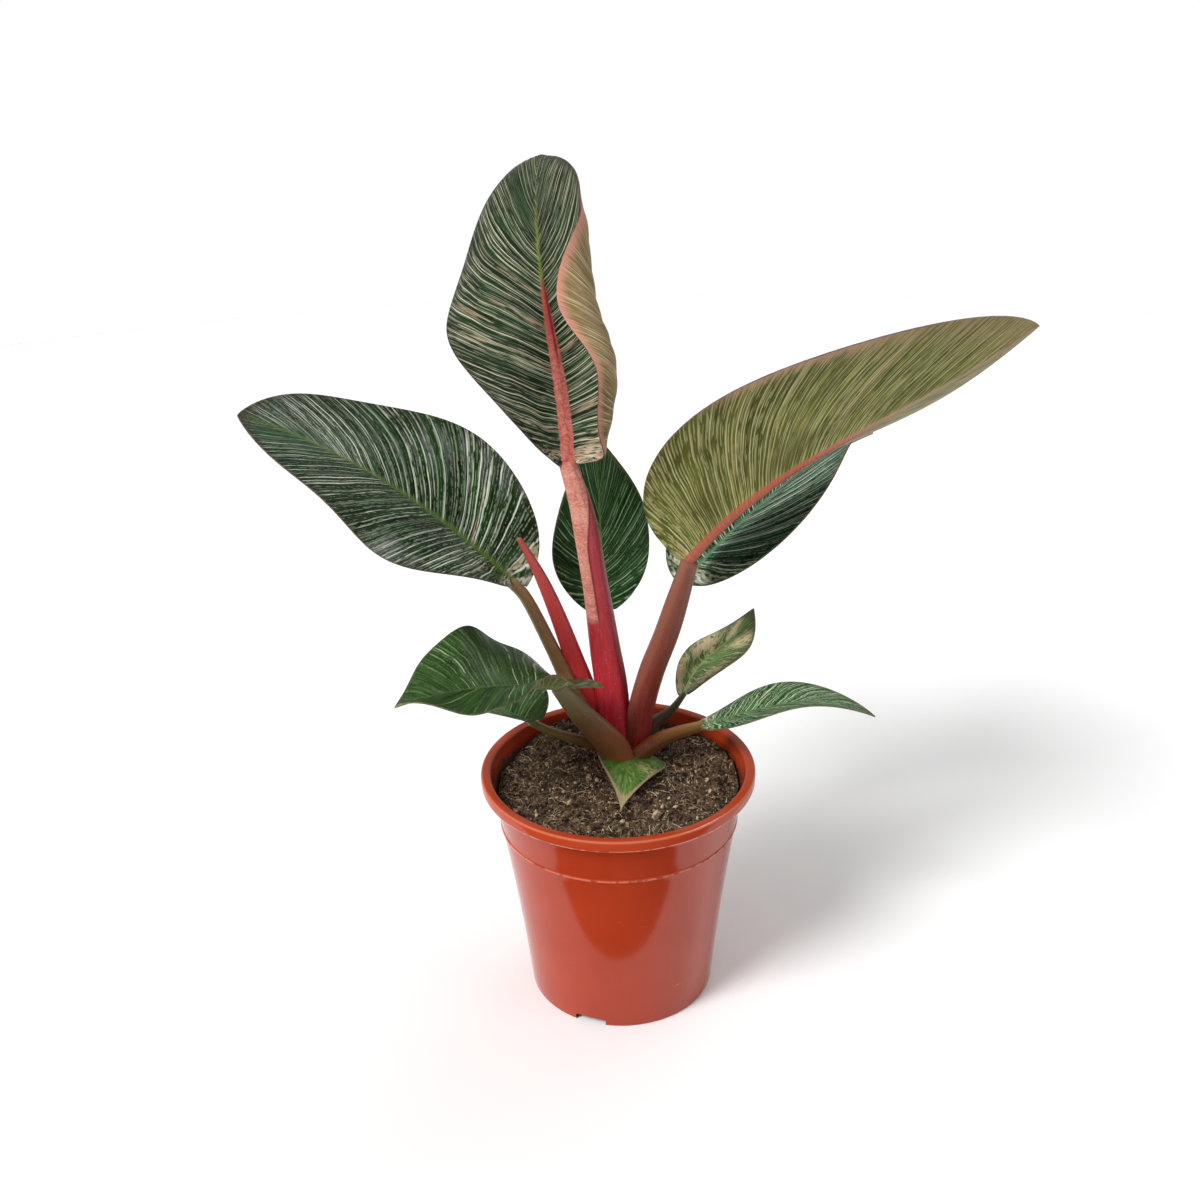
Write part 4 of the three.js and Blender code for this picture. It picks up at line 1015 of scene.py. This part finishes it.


# Glossy plastic: a brighter lip, pale dashes along the lip's burr and the moulded line that are partly wear
# and partly painted highlight, a painted highlight along the rim's top edge, fine scuffs, and soil dirt on
# the inside
def potFinish():
    finish = Finish("terracottaPlastic", Specular_IOR_Level=0.45)
    line, lip, top, rim, base = [pot[key] * mm for key in ("line", "lipFoot", "height", "rim", "baseRadius")]
    place = finish.place()
    x, y, z = finish.split(place)
    radius = (x * x + y * y) ** 0.5
    cloud = finish.noise(place, 30, 3)
    fine = finish.noise(place, 260, 4, 0.6)
    tall = finish.noise(finish.point(x, y, z * 0.1), 60, 2)
    body = finish.mix(finish.span(cloud, 0.3, 0.7), potColours["plain"], potColours["warm"])
    body = finish.mix(finish.span(tall, 0.45, 0.75) * 0.3, body, potColours["streak"])
    body = finish.mix(finish.span(z, lip - 0.4 * mm, lip + 0.2 * mm) * 0.5, body, potColours["lip"])
    # Partly wear, partly painted highlight: pale dashes on the burr under the lip and on the moulded line,
    # and a painted highlight line on the rim's top outer edge
    dashes = finish.span(finish.noise(finish.point(x, y, 0), 190, 2), 0.42, 0.52)
    burr = 1 - finish.span(abs(z - lip - 0.2 * mm), 0.2 * mm, 0.6 * mm)
    burr = burr * finish.span(radius, rim - 1.5 * mm, rim - 0.8 * mm)
    ridge = 1 - finish.span(abs(z - line), 0.3 * mm, 0.6 * mm)
    rimHighlight = finish.span(radius, rim - 0.9 * mm, rim - 0.5 * mm)
    rimHighlight = rimHighlight * finish.span(z, top - 1 * mm, top - 0.5 * mm)
    worn = burr * dashes + ridge * dashes * 0.7 + rimHighlight * 0.6
    body = finish.mix(worn.atMost(1) * 0.8, body, potColours["worn"])
    scratch = finish.noise(finish.point(x, y, z * 6), 90, 4, 0.7)
    scuff = finish.span(scratch, 0.66, 0.74) * finish.span(cloud, 0.5, 0.65)
    body = finish.mix(scuff * 0.5, body, potColours["scuff"])
    upright = radius - z * pot["slope"] - z * z * (pot["flare"] / mm)
    inner = 1 - finish.span(upright, base - 0.6 * mm, base - 0.45 * mm)
    inner = inner * (1 - finish.span(z, top - 2.5 * mm, top - 1 * mm))
    dirt = finish.noise(place, 420, 4, 0.7)
    grime = inner * finish.span(dirt + (lip - 1 * mm - z) * 50, 0.5, 0.62)
    body = finish.mix(grime, body, potColours["dirt"])
    rough = finish.span(fine, 0.3, 0.7, 0.1, 0.15) + scuff * 0.25 + grime * 0.5
    height = fine * 0.1 + scuff * 0.2 + grime * dirt
    finish.set(Base_Color=body, Roughness=rough, Normal=finish.bump(height, 0.1 * mm, 0.4))
    return finish


makePot(potFinish())
print("pot made")


# Soil: a fine lumpy top on a body that fills the pot, with crumbs and fibres. Heaps are a place,
# a height and a reach; lumps a height, two frequencies and a start; clouds a size and a strength.
soil = {"level": 99.6, "grid": 240, "gap": 0.6, "sideRings": [52, 10, 4.3],
        "heaps": [[3, 25, 0.4, 26], [-26, 41, 7.5, 14], [46, 22, 3, 20]],
        "lumps": [[0.2, 0.31, 0.27, 1.1], [0.2, 0.31, -0.27, 1.1], [0.4, 0.17, -0.36, 0.6],
                  [0.24, 0.55, 0.48, 0]],
        "clouds": {"soilClods": [5, 2.2], "soilGrains": [1.6, 1.5], "soilGrit": [0.7, 0.7]},
        "dark": (40, 30, 24), "clod": (96, 76, 60), "moss": (58, 62, 46), "grain": (134, 112, 90),
        "fleck": (196, 176, 144)}
crumb = {"count": 4200, "least": 0.26, "rareExtra": 0.75, "extra": 0.15, "stretch": [0.4, 1.6],
         "knobs": [0.6, 1.25], "above": [-0.1, 0.8], "chipShade": 0.97,
         "chips": [[15.6, -29, 2.3], [-13, 4, 1.7], [11.5, -41, 1.2]],
         "tones": [(0, (34, 26, 20)), (0.45, (72, 54, 42)), (0.75, (112, 90, 72)),
                   (0.92, (156, 134, 108)), (1, (206, 188, 152))]}
fibre = {"count": 1100, "rings": 8, "sides": 3, "length": [1.5, 7], "bend": 0.28, "above": 0.9, "arch": 1.4,
         "thick": [0.06, 0.15],
         "tones": [(0, (84, 62, 46)), (0.45, (140, 116, 88)), (0.8, (190, 170, 136)), (1, (226, 214, 184))]}
tuft = {"count": 30, "x": [13, 6], "y": [-53, -48], "foot": [3, 7], "tip": [6, 9.5]}


def soilTop(x, y):
    height = soil["level"]
    for heapX, heapY, heap, reach in soil["heaps"]:
        height = height + heap * np.exp(-(np.hypot(x - heapX, y - heapY) / reach) ** 2)
    for lump, alongX, alongY, start in soil["lumps"]:
        height = height + lump * np.sin(alongX * x + alongY * y + start)
    return height


# Radius of the pot's inside at a height, less the gap round the soil
def soilEdge(z):
    return outerRadius(z) - pot["wall"] - soil["gap"]


def makeSoil(finish):
    count = soil["grid"]
    bpy.ops.mesh.primitive_grid_add(x_subdivisions=count, y_subdivisions=count, size=2)
    piece = bpy.context.object
    flat = vertexPlaces(piece.data)
    a, b = flat[:, 0], flat[:, 1]
    edge = soilEdge(soil["level"])
    x = a * np.sqrt(1 - b * b / 2) * edge
    y = b * np.sqrt(1 - a * a / 2) * edge
    moveVertices(piece.data, np.stack([x, y, soilTop(x, y)], -1) * mm)
    for name, (size, strength) in soil["clouds"].items():
        texture = bpy.data.textures.new(name, "CLOUDS")
        texture.noise_scale = size * mm
        applyModifier(piece, "DISPLACE", texture=texture, texture_coords="LOCAL", direction="Z",
                      strength=strength * mm, mid_level=0.5)
    bpy.ops.object.mode_set(mode="EDIT")
    bpy.ops.mesh.select_all(action="SELECT")
    bpy.ops.mesh.region_to_loop()
    for z in soil["sideRings"]:
        bpy.ops.mesh.extrude_region_move()
        bpy.ops.object.mode_set(mode="OBJECT")
        places = vertexPlaces(piece.data)
        chosen = np.zeros(len(piece.data.vertices), bool)
        piece.data.vertices.foreach_get("select", chosen)
        away = np.hypot(places[chosen, 0], places[chosen, 1])
        places[chosen, :2] *= (soilEdge(z) * mm / away)[:, None]
        places[chosen, 2] = z * mm
        moveVertices(piece.data, places)
        bpy.ops.object.mode_set(mode="EDIT")
    bpy.ops.mesh.edge_face_add()
    bpy.ops.mesh.select_all(action="SELECT")
    bpy.ops.mesh.normals_make_consistent(inside=False)
    bpy.ops.object.mode_set(mode="OBJECT")
    addPiece("soilBed", "potting_soil", [finish], "soil")
    smoothAndLeave(60)


def addScraps(name, points, faces, shades, finish):
    mesh = bpy.data.meshes.new(name)
    mesh.from_pydata((points * mm).tolist(), [], faces.tolist())
    mesh.attributes.new("shade", "FLOAT", "POINT").data.foreach_set("value", shades)
    piece = bpy.data.objects.new(name, mesh)
    bpy.context.scene.collection.objects.link(piece)
    bpy.context.view_layer.objects.active = piece
    piece.select_set(True)
    addPiece(name, "potting_soil", [finish])
    bpy.ops.object.select_all(action="DESELECT")


# Turns in space, each drawn at random
def turnsAt(count):
    spin = chance.normal(size=(count, 4))
    w, x, y, z = (spin / np.linalg.norm(spin, axis=1, keepdims=True)).T
    return np.stack([
        np.stack([1 - 2 * (y * y + z * z), 2 * (x * y - z * w), 2 * (x * z + y * w)], -1),
        np.stack([2 * (x * y + z * w), 1 - 2 * (x * x + z * z), 2 * (y * z - x * w)], -1),
        np.stack([2 * (x * z - y * w), 2 * (y * z + x * w), 1 - 2 * (x * x + y * y)], -1)], 1)


def makeCrumbs(finish):
    bpy.ops.mesh.primitive_ico_sphere_add(subdivisions=1, radius=1)
    seed = bpy.context.object
    shape = vertexPlaces(seed.data)
    faces = np.array([list(face.vertices) for face in seed.data.polygons])
    bpy.data.objects.remove(seed)
    count = crumb["count"]
    edge = soilEdge(soil["level"])
    away = edge * np.sqrt(chance.uniform(0, 0.985, count))
    turn = chance.uniform(0, 2 * np.pi, count)
    x, y = away * np.cos(turn), away * np.sin(turn)
    size = crumb["least"] + crumb["rareExtra"] * chance.uniform(0, 1, count) ** 6
    size = size + crumb["extra"] * chance.uniform(0, 1, count)
    size = size * np.clip((edge - away) / (size * 1.2), 0.3, 1)
    for i, (chipX, chipY, chipSize) in enumerate(crumb["chips"]):
        x[i], y[i], size[i] = chipX, chipY, chipSize
    stretch = chance.uniform(*crumb["stretch"], (count, 1, 3))
    knobs = chance.uniform(*crumb["knobs"], (count, len(shape), 1))
    points = shape[None] * stretch * knobs * size[:, None, None]
    points = np.einsum("nij,nkj->nki", turnsAt(count), points)
    centres = np.stack([x, y, soilTop(x, y) + chance.uniform(*crumb["above"], count) + size * 0.4], -1)
    points = (points + centres[:, None]).reshape(-1, 3)
    allFaces = (faces[None] + (np.arange(count) * len(shape))[:, None, None]).reshape(-1, 3)
    shades = chance.uniform(0, 1, count)
    shades[:len(crumb["chips"])] = crumb["chipShade"]
    addScraps("soilCrumbs", points, allFaces, np.repeat(shades, len(shape)), finish)


# Loose fibres lie on the soil; the tuft's are raised, at the front inside of the rim
def makeFibres(finish):
    rings, sides = fibre["rings"], fibre["sides"]
    faces = []
    for i in range(rings - 1):
        for k in range(sides):
            a, b = i * sides + k, i * sides + (k + 1) % sides
            faces += [[a, b, b + sides], [a, b + sides, a + sides]]
    last = (rings - 1) * sides
    faces += [[2, 1, 0], [last, last + 1, last + 2]]
    faces = np.array(faces)
    points, allFaces, shades = [], [], []
    edge = outerRadius(soil["level"]) - pot["wall"] - 2
    for n in range(fibre["count"] + tuft["count"]):
        inTuft = n >= fibre["count"]
        length = chance.uniform(*fibre["length"])
        away, turn = edge * chance.uniform(0, 1) ** 0.5, chance.uniform(0, 2 * np.pi)
        start = np.array([away * math.cos(turn), away * math.sin(turn)])
        if inTuft:
            start = np.array([chance.normal(*tuft["x"]), chance.uniform(*tuft["y"])])
        heading = chance.uniform(0, 2 * np.pi) + np.cumsum(chance.normal(0, fibre["bend"], rings))
        path = start + np.cumsum(np.stack([np.cos(heading), np.sin(heading)], -1), 0) * length / rings
        far = np.hypot(path[:, 0], path[:, 1])
        path = path * np.minimum(1, (edge + 1) / far)[:, None]
        arch = chance.uniform(0, fibre["arch"]) * np.sin(np.linspace(0, np.pi, rings))
        lift = soilTop(path[:, 0], path[:, 1]) + fibre["above"] + arch
        if inTuft:
            lift = lift + np.linspace(chance.uniform(*tuft["foot"]), chance.uniform(*tuft["tip"]), rings)
        thick = chance.uniform(*fibre["thick"]) * np.linspace(1, 0.5, rings)
        across = np.stack([-np.sin(heading), np.cos(heading)], -1)
        ringPoints = []
        for k in range(sides):
            corner = 2 * np.pi * k / sides
            flat = path + across * (thick * math.cos(corner))[:, None]
            ringPoints.append(np.concatenate([flat, (lift + thick * math.sin(corner))[:, None]], 1))
        points.append(np.stack(ringPoints, 1).reshape(-1, 3))
        allFaces.append(faces + n * rings * sides)
        shades += [chance.uniform(0, 1)] * (rings * sides)
    addScraps("soilFibres", np.concatenate(points), np.concatenate(allFaces), np.array(shades), finish)


def soilFinish():
    finish = Finish("darkPeat", Roughness=0.9, Specular_IOR_Level=0.25)
    place = finish.place()
    clod = finish.noise(place, 160, 4, 0.6)
    grain = finish.noise(place, 700, 4, 0.7)
    fleck = finish.node("TexVoronoi", {}, {"Vector": place, "Scale": 900})
    chosen = finish.split(fleck.out("Color"))[0]
    moss = finish.noise(place, 45, 2)
    body = finish.mix(finish.span(clod, 0.35, 0.62), soil["dark"], soil["clod"])
    body = finish.mix(finish.span(moss, 0.5, 0.7) * 0.5, body, soil["moss"])
    body = finish.mix(finish.span(grain, 0.5, 0.64) * 0.75, body, soil["grain"])
    flecks = finish.span(chosen, 0.84, 0.9) * (1 - finish.span(fleck, 0.2, 0.5))
    body = finish.mix(flecks * 0.8, body, soil["fleck"])
    finish.set(Base_Color=body, Normal=finish.bump(grain + clod, 0.6 * mm, 0.8))
    return finish


# Crumbs and fibres take their tone from a number each carries
def scrapFinish(name, stops):
    finish = Finish(name, Roughness=0.85, Specular_IOR_Level=0.25)
    shade = finish.node("Attribute", {"attribute_name": "shade"}, output="Fac")
    grain = finish.noise(finish.place(), 900, 3)
    tone = finish.node("ValToRGB", {"stops": stops}, {0: shade + (grain - 0.5) * 0.2})
    finish.set(Base_Color=tone, Normal=finish.bump(grain, 0.2 * mm, 0.6))
    return finish


makeSoil(soilFinish())
makeCrumbs(scrapFinish("crumbs", crumb["tones"]))
makeFibres(scrapFinish("fibres", fibre["tones"]))
print("soil made")


# Stem: a short knobbly turned body, mostly in the soil
stem = {"x": 3, "y": 25, "outline": [[0, 62, 0], [4.5, 62, 2], [6.8, 80, 3], [9, 97, 3], [9.8, 104, 2],
                                     [7.4, 110.6, 2], [4, 114, 1.5], [0, 114, 0]],
        "steps": 40, "slim": 0.97, "swells": [[0.05, 3, 0.4], [0.03, 0, 1.6]],
        "dark": (92, 34, 30), "band": (136, 70, 48), "speck": (170, 120, 90)}


def makeStem(finish):
    piece = spinOutline(softCorners(stem["outline"], 5), stem["steps"])
    places = vertexPlaces(piece.data) / mm
    turn = np.arctan2(places[:, 1], places[:, 0])
    swell = 1
    for height, count, twist in stem["swells"]:
        swell = swell + height * np.sin(count * turn + places[:, 2] * twist)
    places[:, :2] *= swell[:, None] * stem["slim"]
    places += [stem["x"], stem["y"], 0]
    moveVertices(piece.data, places * mm)
    addPiece("crownStem", "stalk_red_brown", [finish], "stem")
    smoothAndLeave(50)


def stemFinish():
    finish = Finish("stemBark", Roughness=0.55)
    place = finish.place()
    x, y, z = finish.split(place)
    bands = finish.noise(finish.point(x * 0.3, y * 0.3, z), 420, 3)
    grain = finish.noise(place, 600, 3)
    body = finish.mix(finish.span(bands, 0.4, 0.6), stem["dark"], stem["band"])
    body = finish.mix(finish.span(grain, 0.55, 0.7) * 0.5, body, stem["speck"])
    finish.set(Base_Color=body, Normal=finish.bump(bands + grain * 0.4, 0.5 * mm, 0.7))
    return finish


makeStem(stemFinish())
print("stem made")


# Studio: pale floor and surroundings, two soft suns for the shadow, soft boxes for light and gloss,
# and a dark card on the floor that only the gloss shows
studio = {
    "cameraPlace": (-6.03, -530.22, 425.37), "tilt": 65.92, "lean": -1.428, "lens": 42, "sensor": 36,
    "floor": 1500, "floorTones": ((248, 248, 248), (250, 250, 250)), "room": (0.395, 0.395, 0.395, 1),
    "boxTarget": (0, 0, 0.18),
    "suns": [{"name": "softSun", "from": (-0.74, -0.66, 1), "strength": 1.98, "angle": 20},
             {"name": "lowSun", "from": (-1.25, -0.8, 1), "strength": 0.85, "angle": 22}],
    "boxes": [
        {"name": "topStrip", "place": (770, 160, 1270), "size": (900, 300), "glow": 7, "glossOnly": True},
        {"name": "backWindow", "place": (560, 680, 1180), "size": (1000, 700), "glow": 1.6,
         "plainOnly": True},
        {"name": "rightPanel", "place": (1010, -470, 640), "size": (500, 700), "glow": 1.1},
        {"name": "leftPanel", "place": (-1100, -300, 500), "size": (500, 900), "glow": 1.2,
         "plainOnly": True},
    ],
    "card": {"front": -77, "back": -460, "half": 420, "turn": -4, "lift": 0.4,
             "shade": (0.03, 0.03, 0.03, 1)},
}


def aimAt(lamp, target):
    lamp.rotation_euler = (lamp.location - Vector(target)).to_track_quat("Z", "Y").to_euler()


def addBox(box):
    bpy.ops.object.light_add(type="AREA", location=[level * mm for level in box["place"]])
    lamp = bpy.context.object
    lamp.name = box["name"]
    lamp.data.shape = "RECTANGLE"
    lamp.data.size, lamp.data.size_y = [level * mm for level in box["size"]]
    lamp.data.energy = box["glow"] * math.pi * lamp.data.size * lamp.data.size_y
    lamp.visible_diffuse = not box.get("glossOnly", False)
    lamp.visible_glossy = not box.get("plainOnly", False)
    aimAt(lamp, studio["boxTarget"])


def makeRoom():
    world = bpy.data.worlds.new("paleRoom")
    world.use_nodes = True
    nodes, links = world.node_tree.nodes, world.node_tree.links
    backdrop = nodes["Background"]
    path = nodes.new("ShaderNodeLightPath")
    mix = nodes.new("ShaderNodeMix")
    mix.data_type = "RGBA"
    links.new(path.outputs["Is Camera Ray"], mix.inputs[0])
    mix.inputs[6].default_value = studio["room"]
    mix.inputs[7].default_value = (1, 1, 1, 1)
    links.new(mix.outputs[2], backdrop.inputs["Color"])
    bpy.context.scene.world = world


def makeStudio():
    bpy.ops.mesh.primitive_circle_add(vertices=128, radius=studio["floor"] * mm, fill_type="NGON")
    floor = bpy.context.object
    floor.name = "paleFloor"
    finish = Finish("paleFloorPaint", Roughness=0.9, Specular_IOR_Level=0)
    cloud = finish.noise(finish.place(), 3, 2)
    finish.set(Base_Color=finish.mix(cloud, *studio["floorTones"]))
    floor.data.materials.append(finish.material)
    card = studio["card"]
    depth = card["front"] - card["back"]
    bpy.ops.mesh.primitive_plane_add(
        size=1, location=(0, (card["front"] - depth / 2) * mm, card["lift"] * mm),
        rotation=(0, 0, math.radians(card["turn"])))
    dark = bpy.context.object
    dark.scale = (2 * card["half"] * mm, depth * mm, 1)
    dark.name = "darkCard"
    paper = Finish("darkCardPaper", Base_Color=card["shade"], Roughness=1, Specular_IOR_Level=0)
    dark.data.materials.append(paper.material)
    dark.visible_camera = dark.visible_diffuse = dark.visible_shadow = dark.visible_transmission = False
    for sun in studio["suns"]:
        bpy.ops.object.light_add(type="SUN", location=sun["from"])
        lamp = bpy.context.object
        lamp.name = sun["name"]
        lamp.data.energy = sun["strength"]
        lamp.data.angle = math.radians(sun["angle"])
        lamp.visible_glossy = False
        aimAt(lamp, (0, 0, 0))
    for box in studio["boxes"]:
        addBox(box)
    makeRoom()
    bpy.ops.object.camera_add(location=[level * mm for level in studio["cameraPlace"]])
    camera = bpy.context.object
    camera.name = "pictureCamera"
    camera.data.lens = studio["lens"]
    camera.data.sensor_width = studio["sensor"]
    tilt, lean = math.radians(studio["tilt"]), math.radians(studio["lean"])
    camera.rotation_euler = (Matrix.Rotation(tilt, 3, "X") @ Matrix.Rotation(lean, 3, "Z")).to_euler()
    bpy.context.scene.camera = camera
    bpy.context.scene.view_settings.view_transform = "Standard"
    bpy.ops.object.select_all(action="DESELECT")


makeStudio()
print("studio made")
